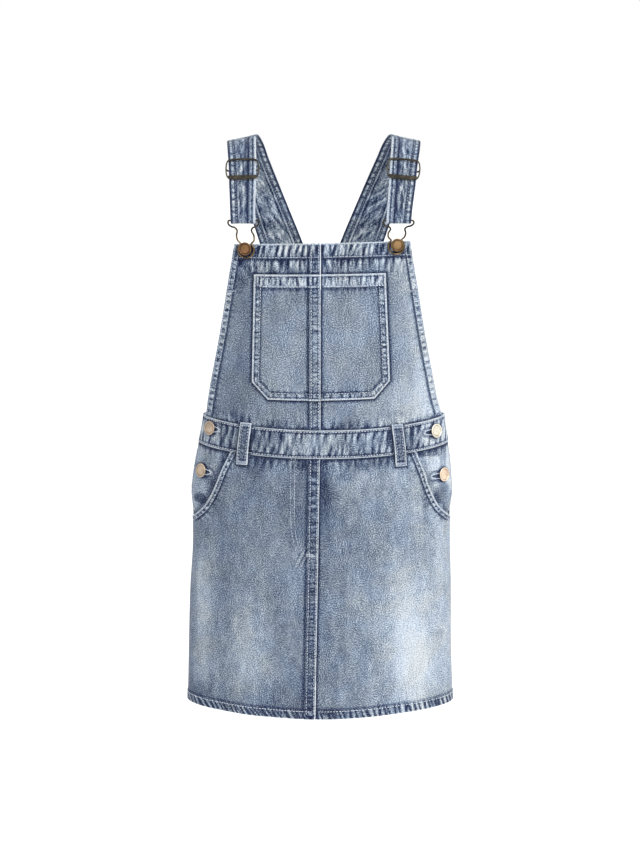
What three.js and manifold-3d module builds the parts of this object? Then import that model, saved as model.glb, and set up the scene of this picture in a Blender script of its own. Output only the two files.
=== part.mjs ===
// A girl's light denim pinafore dress with hook-and-slider straps, filled out as if worn.
// Millimetres, +Z up, the front faces -Y and +X is the right of someone looking at the front.
// The origin lies midway between the two straps, level with their tops on the shoulders.
import * as THREE from 'three';
import { mergeVertices } from 'three/addons/utils/BufferGeometryUtils.js';
import Module from 'manifold-3d';

const wasm = await Module();
wasm.setup();

// Cloth: one layer of denim, the gap kept at every seam, and how far folded edges stand up.
const CLOTH = 1.2;
const GAP = 0.3;
const LAY = 0.4;
const LAP_RISE = 1.0;
const LAP_WIDTH = 12;
const HEM_RISE = 0.6;
const STEP = 0.5;

// The filled-out body: half width, depth to the front and to the back, how square the
// section is, and how far its middle leans to the side, at each height.
const BODY = [
  { z: -640, half: 149.2, front: 72, back: 72, square: 0.04, lean: -1.3 },
  { z: -562, half: 146.5, front: 72, back: 74, square: 0.045, lean: -1.7 },
  { z: -504, half: 145.3, front: 71.5, back: 75, square: 0.05, lean: -1 },
  { z: -443, half: 142.6, front: 71, back: 76, square: 0.06, lean: 0 },
  { z: -409, half: 142.4, front: 70.5, back: 75, square: 0.07, lean: 0 },
  { z: -391, half: 144, front: 70, back: 73, square: 0.075, lean: 0.3 },
  { z: -370, half: 142.3, front: 68, back: 68, square: 0.08, lean: 0.8 },
  { z: -336, half: 137.4, front: 64.5, back: 58, square: 0.08, lean: 2 },
  { z: -305, half: 132.6, front: 63, back: 55, square: 0.08, lean: 2.5 },
  { z: -270, half: 137.5, front: 66, back: 58, square: 0.07, lean: 1.2 },
  { z: -220, half: 150, front: 69.5, back: 62, square: 0.06, lean: 0.4 },
  { z: -160, half: 170, front: 70, back: 64, square: 0.05, lean: 0 },
  { z: -110, half: 190, front: 69.5, back: 62, square: 0.05, lean: 0 },
];
const DEGREE = Math.PI / 180;
const SIDE = 92 * DEGREE;

// Waistband edges: their height at the side and how far they dip at the centre front.
const BAND = { top: -304.6, topDip: 8.2, bottom: -335.5, bottomDip: 8, out: 0.6, thick: 2.4 };
const HEM = { z: -628, dip: 4, fold: 10 };

// The centre front lap line, from the bib down to the hem.
const LAP_LINE = [
  { z: -640, x: -7.3 },
  { z: -487, x: -4.3 },
  { z: -350, x: -2 },
  { z: -300, x: -1.1 },
  { z: -100, x: -1.1 },
];

// Bib: its top edge, which rises a little towards the right, and its half width going down.
const BIB_TOP = -111.2;
const BIB_TILT = 0.0185;
const BIB_HEM = { top: 16, side: 7 };
const BIB_EDGE = [
  { z: -316, x: 133.4, lean: 2.6 },
  { z: -310, x: 131.6, lean: 2.6 },
  { z: -301, x: 128.6, lean: 2.4 },
  { z: -286, x: 125.2, lean: 1.3 },
  { z: -267, x: 121.5, lean: 0.9 },
  { z: -230, x: 114.1, lean: 0.9 },
  { z: -195, x: 107.6, lean: 0.9 },
  { z: -160, x: 101.8, lean: 0.9 },
  { z: -110, x: 93.1, lean: 0.9 },
];

// Bib pocket: a square pocket with its lower corners cut off, sewn on a little turned.
const POCKET = {
  top: -144, cut: -260.7, bottom: -279.6, topHalf: 69.5, cutHalf: 73.8, bottomHalf: 57, hem: 13.9,
  tilt: 0.0115, topLean: -1.9, bottomLean: -0.5,
};
// Distances from the lap line of the plain columns on the half that has no lap strip.
const PLAIN_COLUMNS = [0, 8, 16];

// The scooped edge of each hand pocket: the angle round the body at which it runs.
const SCOOP = [
  { z: -419.5, turn: 92 },
  { z: -416, turn: 82 },
  { z: -409, turn: 73.4 },
  { z: -398.5, turn: 66.4 },
  { z: -386, turn: 62.2 },
  { z: -362, turn: 58.2 },
  { z: -330, turn: 52.4 },
];
const SCOOP_BAND = 6;
// The pocket back starts under the front panel and rises beside it once it is clear of the edge.
const POCKET_BACK = { bottom: -440, start: 44, lean: 0.14, under: 2.4, clear: 7, rise: 10, below: 3 };

// Button stands inside the side openings, and the belt loops over the waistband.
const STAND = {
  top: -308, bottom: -405, start: 62, end: 104, under: 4.2, back: 2.6, easeFrom: 91, ease: 6,
};
const LOOP = {
  topX: 80.8, topZ: -307.4, bottomX: 85.9, bottomZ: -353.4, rightDrop: 1.5,
  width: 12, thick: 1.8, arch: 1.2, stepUp: 6, ease: 4,
};

// Buttons: the head, the post behind it, and where the side ones sit.
const BUTTON = { radius: 7.7, thick: 1.7, post: 2.2, hole: 2.6, edge: 0.5, rim: 1.6, dish: 0.6, sides: 14 };
const DRILL_LENGTH = 16;
const BIB_BUTTON = { left: { x: -79.9, z: -117.4 }, right: { x: 79, z: -113.4 }, stand: 3.4, radius: 7 };
const SIDE_BUTTONS = [
  { name: 'waist_button', left: { x: -121.1, z: -317.6 }, right: { x: 124.4, z: -320.3 }, lift: BAND.out },
  { name: 'hip_button', left: { x: -131.4, z: -364.8 }, right: { x: 133.8, z: -369.2 }, lift: 0 },
];

// Strap: its middle line from the free end behind the slider, round the hook, over the shoulder
// and down the back; roll turns the outer edge down, lean moves both straps towards the right,
// layer parts the two straps where they cross, and wrap lays the strap on the back.
const STRAP_THICK = 2.1;
const CROSSING = 1.55;
const STRAP = [
  { x: 84.6, y: -51, z: -32.4, width: 26, roll: 0, lean: 1.5, layer: 0, wrap: 0 },
  { x: 84.2, y: -53.7, z: -38.5, width: 26, roll: 0, lean: 1.2, layer: 0, wrap: 0 },
  { x: 84, y: -58.8, z: -51.5, width: 26, roll: 0, lean: 0.8, layer: 0, wrap: 0 },
  { x: 82.6, y: -64.2, z: -75.6, width: 26, roll: 0, lean: -0.4, layer: 0, wrap: 0 },
  { x: 82, y: -66.1, z: -87.3, width: 26, roll: 0, lean: -0.7, layer: 0, wrap: 0 },
  { x: 81.9, y: -66.8, z: -89.05, width: 26, roll: 0, lean: -0.7, layer: 0, wrap: 0 },
  { x: 81.9, y: -68.55, z: -89.75, width: 26, roll: 0, lean: -0.7, layer: 0, wrap: 0 },
  { x: 81.9, y: -70.3, z: -89.05, width: 26, roll: 0, lean: -0.7, layer: 0, wrap: 0 },
  { x: 82, y: -71, z: -87.3, width: 26, roll: 0, lean: -0.7, layer: 0, wrap: 0 },
  { x: 82.6, y: -69, z: -75, width: 26.5, roll: 0, lean: -0.4, layer: 0, wrap: 0 },
  { x: 84, y: -63.5, z: -50, width: 28, roll: 0, lean: 0.8, layer: 0, wrap: 0 },
  { x: 85, y: -56, z: -30, width: 29, roll: -2, lean: 1.6, layer: 0, wrap: 0 },
  { x: 86.5, y: -43, z: -14.5, width: 30.5, roll: -8, lean: 2.2, layer: 0, wrap: 0 },
  { x: 87.7, y: -23, z: -6.5, width: 31.5, roll: -12.7, lean: 2.4, layer: 0, wrap: 0 },
  { x: 88, y: 0, z: -4.8, width: 32.3, roll: -12.7, lean: 2.4, layer: 0, wrap: 0 },
  { x: 86, y: 22, z: -7, width: 33.5, roll: -11, lean: 2.2, layer: 0, wrap: 0 },
  { x: 82, y: 40, z: -17, width: 35, roll: -8, lean: 1.8, layer: 0, wrap: 0 },
  { x: 77, y: 50, z: -34, width: 37, roll: -4, lean: 1.2, layer: 0, wrap: 0 },
  { x: 68, y: 56, z: -60, width: 40, roll: 0, lean: 0.6, layer: 0, wrap: 0 },
  { x: 46, y: 61, z: -120, width: 45, roll: 0, lean: 0, layer: 0.6, wrap: 0.7 },
  { x: 24, y: 63, z: -180, width: 47, roll: 0, lean: 0, layer: 1, wrap: 1 },
  { x: 0, y: 61, z: -249, width: 48, roll: 0, lean: 0, layer: 1, wrap: 1 },
  { x: -19, y: 53, z: -300, width: 48, roll: 0, lean: 0, layer: 1, wrap: 1 },
  { x: -26, y: 50, z: -328, width: 48, roll: 0, lean: 0, layer: 1, wrap: 1 },
];
const STRAP_BACK = [
  { z: -340, depth: 49.8, half: 129 },
  { z: -305, depth: 48.8, half: 126 },
  { z: -285, depth: 52, half: 129 },
  { z: -249, depth: 60, half: 143 },
  { z: -180, depth: 63.5, half: 180 },
  { z: -110, depth: 62, half: 228 },
];

// Hook: half of its wire outline, from the bar under the strap to the ring round the button.
const WIRE = 0.95;
const HOOK = [
  { x: 12, z: -87.3 },
  { x: 15.4, z: -87.5 },
  { x: 16, z: -90.6 },
  { x: 13.4, z: -93.4 },
  { x: 9.4, z: -94.8 },
  { x: 7.6, z: -97.6 },
  { x: 9.2, z: -103 },
  { x: 8.6, z: -108 },
  { x: 5.6, z: -111.6 },
  { x: 7, z: -113.6 },
  { x: 8.4, z: -117.8 },
  { x: 6.2, z: -123.8 },
  { x: 0, z: -126.3 },
];
const HOOK_BAR = { x: 81.8, lean: -0.7, y: -68.55, z: -87.3, seatZ: -112, buttonZ: -116.5 };

// Slider: across, along and out of the strap, measured from its own middle.
const SLIDER = {
  row: 10.745, half: 15.9, bow: 17.2, up: 9.8, corner: 1.8, out: 2.4, bar: 0.85, back: -2.45, middleBar: 0.9,
};
const LOWER_BAR = { tall: 4, thick: 1.6, short: 1.5, up: 0.9 };

const CLOTH_COLOUR = 0x9fb2c9;
const BAND_COLOUR = 0x8ea4c0;
const STRAP_COLOUR = 0xa9bacd;
const WIRE_COLOUR = 0x4a4038;
const BUTTON_COLOUR = 0x9a6a3f;

// Reads a named column of a table at a height, along a smooth line that never overshoots.
function reading(table, height, column) {
  const z = Math.max(table[0].z, Math.min(table[table.length - 1].z, height));
  const low = table.findIndex((row, i) => i > 0 && z <= row.z) - 1;
  const slope = (i) => (table[i + 1][column] - table[i][column]) / (table[i + 1].z - table[i].z);
  const bend = (i) => {
    if (i === 0) return slope(0);
    if (i === table.length - 1) return slope(i - 1);
    const before = slope(i - 1);
    const after = slope(i);
    return before * after <= 0 ? 0 : (2 * before * after) / (before + after);
  };
  const a = table[low];
  const b = table[low + 1];
  const span = b.z - a.z;
  const t = (z - a.z) / span;
  const s = t * t * (3 - 2 * t);
  return a[column] * (1 - s) + b[column] * s
    + span * (bend(low) * t * (1 - t) * (1 - t) - bend(low + 1) * t * t * (1 - t));
}

const mix = (a, b, t) => a + (b - a) * t;
const smooth = (t) => {
  const s = Math.max(0, Math.min(1, t));
  return s * s * (3 - 2 * s);
};

// A point of the body at an angle round from the centre front and at a height.
function bodyPoint(turn, z) {
  const square = reading(BODY, z, 'square');
  const half = reading(BODY, z, 'half');
  const depth = reading(BODY, z, Math.abs(turn) < Math.PI / 2 ? 'front' : 'back');
  const across = (Math.sin(turn) - square * Math.sin(3 * turn)) / (1 + square);
  return new THREE.Vector3(half * across + reading(BODY, z, 'lean'), -depth * Math.cos(turn), z);
}

// The same point moved out along the cloth's own normal.
function skin(turn, z, out) {
  const small = 0.002;
  const around = bodyPoint(turn + small, z).sub(bodyPoint(turn - small, z));
  const up = bodyPoint(turn, z + 1).sub(bodyPoint(turn, z - 1));
  const normal = around.cross(up).normalize();
  return bodyPoint(turn, z).addScaledVector(normal, out);
}

const perRadian = (turn, z) => bodyPoint(turn + 0.01, z).distanceTo(bodyPoint(turn - 0.01, z)) / 0.02;

// The angle at which the front of the body reaches a given x.
function turnAt(x, z) {
  let low = -Math.PI / 2;
  let high = Math.PI / 2;
  for (let i = 0; i < 40; i += 1) {
    const middle = (low + high) / 2;
    if (bodyPoint(middle, z).x < x) low = middle;
    else high = middle;
  }
  return (low + high) / 2;
}

const frontDip = (turn) => smooth(Math.cos(turn));
const bandTop = (turn) => BAND.top - BAND.topDip * frontDip(turn);
const bandBottom = (turn) => BAND.bottom - BAND.bottomDip * frontDip(turn);
const hemAt = (turn) => HEM.z - HEM.dip * Math.cos(turn) ** 2;

function closedGeometry(positions, indices) {
  const geometry = new THREE.BufferGeometry();
  geometry.setAttribute('position', new THREE.BufferAttribute(new Float32Array(positions), 3));
  geometry.setIndex(indices);
  return geometry;
}

// A closed wall over a grid: place(i, j, face) gives a point of the outer face (1) or inner (0).
function wall(columns, rows, place) {
  const positions = [];
  for (const face of [1, 0]) {
    for (let j = 0; j < rows; j += 1) {
      for (let i = 0; i < columns; i += 1) positions.push(...place(i, j, face).toArray());
    }
  }
  const at = (i, j, face) => (1 - face) * columns * rows + j * columns + i;
  const triangles = [];
  const quad = (a, b, c, d) => triangles.push([a, b, c], [a, c, d]);
  for (let j = 0; j < rows - 1; j += 1) {
    for (let i = 0; i < columns - 1; i += 1) {
      quad(at(i, j, 1), at(i, j + 1, 1), at(i + 1, j + 1, 1), at(i + 1, j, 1));
      quad(at(i, j, 0), at(i + 1, j, 0), at(i + 1, j + 1, 0), at(i, j + 1, 0));
    }
  }
  for (let i = 0; i < columns - 1; i += 1) {
    quad(at(i, 0, 0), at(i, 0, 1), at(i + 1, 0, 1), at(i + 1, 0, 0));
    quad(at(i, rows - 1, 1), at(i, rows - 1, 0), at(i + 1, rows - 1, 0), at(i + 1, rows - 1, 1));
  }
  for (let j = 0; j < rows - 1; j += 1) {
    quad(at(0, j, 0), at(0, j + 1, 0), at(0, j + 1, 1), at(0, j, 1));
    quad(at(columns - 1, j, 1), at(columns - 1, j + 1, 1), at(columns - 1, j + 1, 0), at(columns - 1, j, 0));
  }
  return facingOut(positions, triangles);
}

// Turns every face round when the wall was listed inside out.
function facingOut(positions, triangles) {
  const point = (i) => new THREE.Vector3().fromArray(positions, 3 * i);
  let volume = 0;
  for (const [a, b, c] of triangles) volume += point(a).dot(point(b).cross(point(c)));
  const turned = volume < 0 ? triangles.map(([a, b, c]) => [a, c, b]) : triangles;
  return closedGeometry(positions, turned.flat());
}

// Angles across a panel, with a sharp step where the folded strip at either edge ends.
function stations(from, to, z, startWidth, endWidth, count) {
  const way = Math.sign(to - from);
  const list = [{ turn: from, start: 1, end: 0 }];
  let left = from;
  let right = to;
  if (startWidth > 0) {
    const reach = (mm) => from + (way * mm) / perRadian(from, z);
    list.push({ turn: reach(startWidth - STEP / 2), start: 1, end: 0 });
    left = reach(startWidth + STEP / 2);
    list.push({ turn: left, start: 0, end: 0 });
  }
  if (endWidth > 0) right = to - (way * (endWidth + STEP / 2)) / perRadian(to, z);
  for (let i = 1; i < count; i += 1) list.push({ turn: mix(left, right, i / count), start: 0, end: 0 });
  if (endWidth > 0) {
    list.push({ turn: right, start: 0, end: 0 });
    list.push({ turn: to - (way * (endWidth - STEP / 2)) / perRadian(to, z), start: 0, end: 1 });
  }
  list.push({ turn: to, start: 0, end: 1 });
  return list;
}

const lapX = (z) => reading(LAP_LINE, z, 'x');
const lapTurn = (side, z) => turnAt(lapX(z) + (side > 0 ? GAP : 0), z);
const scoopTurn = (z) => (z <= SCOOP[0].z ? SIDE : reading(SCOOP, z, 'turn') * DEGREE);

// Heights down the side edge of the front panels: close together round the scoop's end.
const SCOOP_TOP = -340;
const SCOOP_ROWS = [-351, -362, -374, -386, -392.5, -398.5, -404, -409, -412.8, -416, -418.3, -419.5];
const LOWER_ROWS = [-428, -443, -470, -504, -540, -580];
const BELOW_SCOOP = LOWER_ROWS[0];
const FRONT_COLUMNS = 11;

// One half of the skirt front. The left half laps over the right with a raised strip.
function frontSkirt(side) {
  const rows = [{ v: 0, turn: scoopTurn(SCOOP_TOP), band: 1, hem: 0 }];
  for (const z of [...SCOOP_ROWS, ...LOWER_ROWS]) {
    const turn = scoopTurn(z);
    const top = bandBottom(turn) - GAP;
    rows.push({ v: (z - top) / (hemAt(turn) - top), turn, band: z > SCOOP[0].z ? 1 : 0, hem: 0 });
  }
  const length = bandBottom(SIDE) - GAP - hemAt(SIDE);
  rows.push({ v: 1 - (HEM.fold + STEP / 2) / length, turn: SIDE, band: 0, hem: 0 });
  rows.push({ v: 1 - (HEM.fold - STEP / 2) / length, turn: SIDE, band: 0, hem: 1 });
  rows.push({ v: 1, turn: SIDE, band: 0, hem: 1 });
  const height = (turn, v) => mix(bandBottom(turn) - GAP, hemAt(turn), v);
  const grid = rows.map((row) => {
    const z = height(row.turn, row.v);
    const middle = height(0, row.v);
    const lap = side < 0 ? LAP_WIDTH : 0;
    return stations(lapTurn(side, middle), side * row.turn, z, lap, SCOOP_BAND, FRONT_COLUMNS);
  });
  return wall(grid[0].length, rows.length, (i, j, face) => {
    const station = grid[j][i];
    const z = height(station.turn, rows[j].v);
    if (!face) return skin(station.turn, z, -CLOTH);
    const lap = side < 0 ? LAP_RISE * station.start : 0;
    const fold = HEM_RISE * Math.max(rows[j].hem, 0.8 * station.end * rows[j].band);
    return skin(station.turn, z, Math.max(lap, fold));
  });
}

// The pocket back that fills the scoop: it lies under the front and comes up to the side opening.
function sideFront(side) {
  const heights = [bandBottom(scoopTurn(SCOOP_TOP)) - GAP, ...SCOOP_ROWS, BELOW_SCOOP, POCKET_BACK.bottom];
  const columns = 10;
  return wall(columns, heights.length, (i, j, face) => {
    const start = (POCKET_BACK.start + (heights[0] - heights[j]) * POCKET_BACK.lean) * DEGREE;
    const turn = mix(start, SIDE, i / (columns - 1));
    const top = bandBottom(turn) - GAP;
    const v = (heights[j] - heights[0]) / (POCKET_BACK.bottom - heights[0]);
    const z = mix(top, POCKET_BACK.bottom, v);
    const beyond = (turn - scoopTurn(z - POCKET_BACK.below)) * perRadian(turn, z);
    const under = -POCKET_BACK.under * (1 - smooth((beyond - POCKET_BACK.clear) / POCKET_BACK.rise));
    return skin(side * turn, z, under - (face ? 0 : CLOTH));
  });
}

function backSkirt() {
  const edge = SIDE + GAP / perRadian(SIDE, -500);
  const columns = 25;
  const shares = [0, 0.09, 0.18, 0.27, 0.37, 0.5, 0.65, 0.82];
  const length = BAND.bottom - HEM.z;
  const rows = shares.map((v) => ({ v, hem: 0 }));
  rows.push({ v: 1 - (HEM.fold + STEP / 2) / length, hem: 0 });
  rows.push({ v: 1 - (HEM.fold - STEP / 2) / length, hem: 1 }, { v: 1, hem: 1 });
  return wall(columns, rows.length, (i, j, face) => {
    const turn = mix(edge, 2 * Math.PI - edge, i / (columns - 1));
    const z = mix(bandBottom(turn) - GAP, hemAt(turn), rows[j].v);
    return skin(turn, z, face ? HEM_RISE * rows[j].hem : -CLOTH);
  });
}

function waistband(from, to, columns) {
  const rows = 4;
  return wall(columns, rows, (i, j, face) => {
    const turn = mix(from, to, i / (columns - 1));
    const z = mix(bandTop(turn), bandBottom(turn), j / (rows - 1));
    return skin(turn, z, BAND.out - (face ? 0 : BAND.thick));
  });
}

// Distances from the middle for the first three columns of a bib or pocket half: the lap strip's
// width on the left half, plain columns on the right one.
function lapColumns(side, z) {
  if (side < 0) return [-lapX(z), LAP_WIDTH - STEP / 2 - lapX(z), LAP_WIDTH + STEP / 2 - lapX(z)];
  return PLAIN_COLUMNS.map((plain) => plain + lapX(z) + GAP);
}

// One half of the bib, from its top hem down to the waistband.
function bib(side) {
  const shares = [0, 0, 0, 0.12, 0.24, 0.36, 0.48, 0.6, 0.7, 0.8, 0.9, 1];
  const columns = 9;
  const hemEnd = BIB_TOP - BIB_HEM.top;
  const rowTop = [BIB_TOP, hemEnd + STEP / 2, hemEnd - STEP / 2];
  const distance = (i, z) => {
    const lap = lapColumns(side, z);
    const edge = reading(BIB_EDGE, z, 'x') + side * reading(BIB_EDGE, z, 'lean');
    const fold = edge - BIB_HEM.side;
    if (i < 3) return lap[i];
    if (i >= columns - 2) return [fold + STEP / 2, edge][i - columns + 2];
    return mix(lap[2], fold - STEP / 2, (i - 2) / (columns - 5));
  };
  return wall(columns, shares.length, (i, j, face) => {
    let z = j < 3 ? rowTop[j] : mix(rowTop[2], BAND.top, shares[j]);
    let turn = 0;
    for (let again = 0; again < 4; again += 1) {
      const x = side * distance(i, z);
      const tilt = BIB_TILT * x;
      turn = turnAt(x, z);
      z = j < 3 ? rowTop[j] + tilt : mix(rowTop[2] + tilt, bandTop(turn) + GAP, shares[j]);
    }
    if (!face) return skin(turn, z, -CLOTH);
    const folded = j < 2 || i >= columns - 2 ? HEM_RISE : 0;
    const lapped = side < 0 && i < 2 ? LAP_RISE : 0;
    return skin(turn, z, Math.max(folded, lapped));
  });
}

// One half of the bib pocket, laid on the bib and made in two halves like it.
function bibPocket(side) {
  const hemEnd = POCKET.top - POCKET.hem;
  const plain = [0.25, 0.5, 0.75].map((share) => mix(hemEnd, POCKET.cut, share));
  const heights = [POCKET.top, hemEnd + STEP / 2, hemEnd - STEP / 2, ...plain, POCKET.cut, POCKET.bottom];
  const columns = 7;
  const halfAt = (z) => (z > POCKET.cut
    ? mix(POCKET.topHalf, POCKET.cutHalf, (POCKET.top - z) / (POCKET.top - POCKET.cut))
    : mix(POCKET.cutHalf, POCKET.bottomHalf, (POCKET.cut - z) / (POCKET.cut - POCKET.bottom)));
  return wall(columns, heights.length, (i, j, face) => {
    const down = (POCKET.top - heights[j]) / (POCKET.top - POCKET.bottom);
    const edge = halfAt(heights[j]) + side * mix(POCKET.topLean, POCKET.bottomLean, down);
    const lap = lapColumns(side, heights[j]);
    const x = side * (i < 3 ? lap[i] : mix(lap[2], edge, (i - 2) / (columns - 3)));
    const z = heights[j] + POCKET.tilt * x;
    const lapped = side < 0 && i < 2 ? LAP_RISE : 0;
    const hem = j < 2 ? HEM_RISE : 0;
    return skin(turnAt(x, z), z, lapped + LAY + (face ? CLOTH + Math.max(lapped, hem) : 0));
  });
}

function beltLoop(side) {
  const rows = 9;
  const columns = 3;
  return wall(columns, rows, (i, j, face) => {
    const v = j / (rows - 1);
    const z = mix(LOOP.topZ, LOOP.bottomZ, v) - (side > 0 ? LOOP.rightDrop : 0);
    const x = mix(LOOP.topX, LOOP.bottomX, v) + (i / (columns - 1) - 0.5) * LOOP.width;
    const turn = turnAt(side * x, z);
    const onBand = smooth((z - bandBottom(turn) + LOOP.stepUp) / LOOP.ease);
    const under = mix(LAY, BAND.out + LAY, onBand) + LOOP.arch * Math.sin(Math.PI * v) ** 2;
    return skin(turn, z, under + (face ? LOOP.thick : 0));
  });
}

// The strip that carries the side buttons, sewn inside the back and tucked under the front.
function buttonStand(side) {
  const columns = 9;
  const rows = 6;
  return wall(columns, rows, (i, j, face) => {
    const degrees = mix(STAND.start, STAND.end, i / (columns - 1));
    const under = mix(STAND.under, STAND.back, smooth((degrees - STAND.easeFrom) / STAND.ease));
    const z = mix(STAND.top, STAND.bottom, j / (rows - 1));
    return skin(side * degrees * DEGREE, z, -under - (face ? 0 : CLOTH));
  });
}

function toManifold(geometry) {
  const bare = geometry.clone();
  bare.deleteAttribute('normal');
  bare.deleteAttribute('uv');
  const merged = mergeVertices(bare, 1e-4);
  const mesh = new wasm.Mesh({
    numProp: 3,
    vertProperties: new Float32Array(merged.attributes.position.array),
    triVerts: new Uint32Array(merged.index.array),
  });
  return new wasm.Manifold(mesh);
}

function fromManifold(solid) {
  const mesh = solid.getMesh();
  return closedGeometry(mesh.vertProperties, Array.from(mesh.triVerts));
}

// A piece made for the right side, or its mirror image for the left.
const handed = (solid, side) => fromManifold(side > 0 ? solid : solid.mirror([1, 0, 0]));
const endOf = (side) => (side < 0 ? 'left' : 'right');

// Turns a piece made with its axis along +Y so that it stands out of the cloth at a point.
function standOut(geometry, turn, z) {
  const foot = skin(turn, z, 0);
  const normal = skin(turn, z, 1).sub(foot).normalize();
  const spin = new THREE.Quaternion().setFromUnitVectors(new THREE.Vector3(0, 1, 0), normal);
  return geometry.clone().applyQuaternion(spin).translate(foot.x, foot.y, foot.z);
}

// A metal button: a post from the foot and a shallow dished head on it.
function buttonBlank(foot, head, rim) {
  const top = head + BUTTON.thick;
  const profile = new THREE.Path();
  profile.moveTo(0, foot);
  profile.lineTo(BUTTON.post, foot);
  profile.lineTo(BUTTON.post, head);
  profile.lineTo(rim - BUTTON.edge, head);
  profile.lineTo(rim, head + BUTTON.edge);
  profile.lineTo(rim, top - BUTTON.edge);
  profile.lineTo(rim - BUTTON.edge, top);
  profile.lineTo(rim - BUTTON.rim, top);
  profile.lineTo(rim - BUTTON.rim - BUTTON.dish, top - BUTTON.dish);
  profile.lineTo(0, top - BUTTON.dish / 2);
  return new THREE.LatheGeometry(profile.getPoints(1), BUTTON.sides);
}

// Cuts the buttonhole for a side button's post through a front piece.
function withButtonhole(geometry, side, button) {
  const drill = new THREE.CylinderGeometry(BUTTON.hole, BUTTON.hole, DRILL_LENGTH, 12);
  const { x, z } = button[endOf(side)];
  const placed = standOut(drill, turnAt(x, z), z);
  return fromManifold(toManifold(geometry).subtract(toManifold(placed)));
}

// The middle line of a strap before the left one is mirrored.
function strapLine(side) {
  const points = STRAP.map((row) => {
    const apart = side * CROSSING * row.layer * (1 - row.wrap);
    return new THREE.Vector3(row.x + side * row.lean, row.y + apart, row.z);
  });
  return new THREE.CatmullRomCurve3(points, false, 'centripetal');
}

const strapColumn = (t, column) => {
  const place = t * (STRAP.length - 1);
  const row = Math.min(STRAP.length - 2, Math.floor(place));
  return mix(STRAP[row][column], STRAP[row + 1][column], place - row);
};

// Where the strap runs, how it lies across and which way its outer face looks.
function strapFrame(line, t) {
  const middle = line.getPoint(t);
  const along = line.getTangent(t);
  const flat = new THREE.Vector3(1, 0, 0).addScaledVector(along, -along.x).normalize();
  const faceOut = flat.clone().cross(along);
  const roll = strapColumn(t, 'roll') * DEGREE;
  const across = flat.clone().multiplyScalar(Math.cos(roll)).addScaledVector(faceOut, Math.sin(roll));
  return { middle, along, across, out: across.clone().cross(along).normalize() };
}

// The depth of the wearer's back under the strap.
function backDepth(x, z) {
  const half = reading(STRAP_BACK, z, 'half');
  const depth = reading(STRAP_BACK, z, 'depth');
  const square = reading(BODY, z, 'square');
  let turn = 0;
  for (let i = 0; i < 12; i += 1) {
    turn = Math.asin(Math.max(-1, Math.min(1, (x / half) * (1 + square) + square * Math.sin(3 * turn))));
  }
  return depth * Math.cos(turn);
}

function strap(side) {
  const line = strapLine(side);
  const rows = 3 * (STRAP.length - 1) + 1;
  const columns = 4;
  return wall(columns, rows, (i, j, face) => {
    const t = j / (rows - 1);
    const frame = strapFrame(line, t);
    const off = (face - 0.5) * STRAP_THICK;
    const spot = frame.middle.clone()
      .addScaledVector(frame.across, (i / (columns - 1) - 0.5) * strapColumn(t, 'width'));
    const point = spot.clone().addScaledVector(frame.out, off);
    const wrap = strapColumn(t, 'wrap');
    if (wrap > 0) {
      const laid = backDepth(spot.x, spot.z) + side * CROSSING * strapColumn(t, 'layer') + off;
      point.y = mix(point.y, laid, wrap);
    }
    point.x *= side;
    return point;
  });
}

// The hook: one bent wire that runs from its bar round the button and back. Its lower part lies
// on the bib and its bar stands off it inside the strap's loop.
function hook(side) {
  const button = BIB_BUTTON[endOf(side)];
  const barX = side * HOOK_BAR.x + HOOK_BAR.lean;
  const spot = (across, level) => {
    const lifted = smooth((level - HOOK_BAR.seatZ) / (HOOK_BAR.z - HOOK_BAR.seatZ));
    const x = mix(button.x, barX, lifted) + across;
    const z = level + (button.z - HOOK_BAR.buttonZ) * (1 - lifted);
    const low = Math.min(z, HOOK_BAR.seatZ);
    const seat = skin(turnAt(x, low), low, HEM_RISE + LAY + WIRE);
    return new THREE.Vector3(x, mix(seat.y, HOOK_BAR.y, lifted), z);
  };
  const right = HOOK.map((row) => spot(row.x, row.z));
  const left = HOOK.slice(0, -1).map((row) => spot(-row.x, row.z)).reverse();
  const line = new THREE.CatmullRomCurve3([...right, ...left], true);
  return fromManifold(toManifold(new THREE.TubeGeometry(line, 56, WIRE, 6, true)));
}

// The slider: a wire frame in front of the strap, a flat lower bar and a middle bar behind it.
function slider(side) {
  const frame = strapFrame(strapLine(side), SLIDER.row / (STRAP.length - 1));
  const spot = (across, along, out) => frame.middle.clone()
    .addScaledVector(frame.across, across)
    .addScaledVector(frame.along, along)
    .addScaledVector(frame.out, out);
  const { half, bow, up, corner, out, back, bar, middleBar } = SLIDER;
  const ring = [
    spot(corner - half, up, out), spot(half - corner, up, out), spot(half, up - corner, out),
    spot(bow, 0, out), spot(half, corner - up, out), spot(half - corner, -up, out),
    spot(corner - half, -up, out), spot(-half, corner - up, out), spot(-bow, 0, out),
    spot(-half, up - corner, out),
  ];
  const outer = new THREE.TubeGeometry(new THREE.CatmullRomCurve3(ring, true), 32, bar, 6, true);
  const leg = bow - bar / 4;
  const staple = new THREE.CatmullRomCurve3([
    spot(-leg, 0, out), spot(-leg, 0, 0), spot(bar / 2 - half, 0, back), spot(0, 0, back),
    spot(half - bar / 2, 0, back), spot(leg, 0, 0), spot(leg, 0, out),
  ]);
  const disc = new THREE.Shape().absarc(0, 0, middleBar, 0, 2 * Math.PI);
  const middle = new THREE.ExtrudeGeometry(disc, { steps: 12, extrudePath: staple, curveSegments: 3 });
  const lower = new THREE.BoxGeometry(2 * half - LOWER_BAR.short, LOWER_BAR.tall, LOWER_BAR.thick);
  const axes = new THREE.Matrix4().makeBasis(frame.across, frame.along, frame.out);
  lower.applyMatrix4(axes.setPosition(spot(0, LOWER_BAR.up - up, out)));
  return handed(toManifold(outer).add(toManifold(middle)).add(toManifold(lower)), side);
}

const dress = new THREE.Group();

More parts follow.
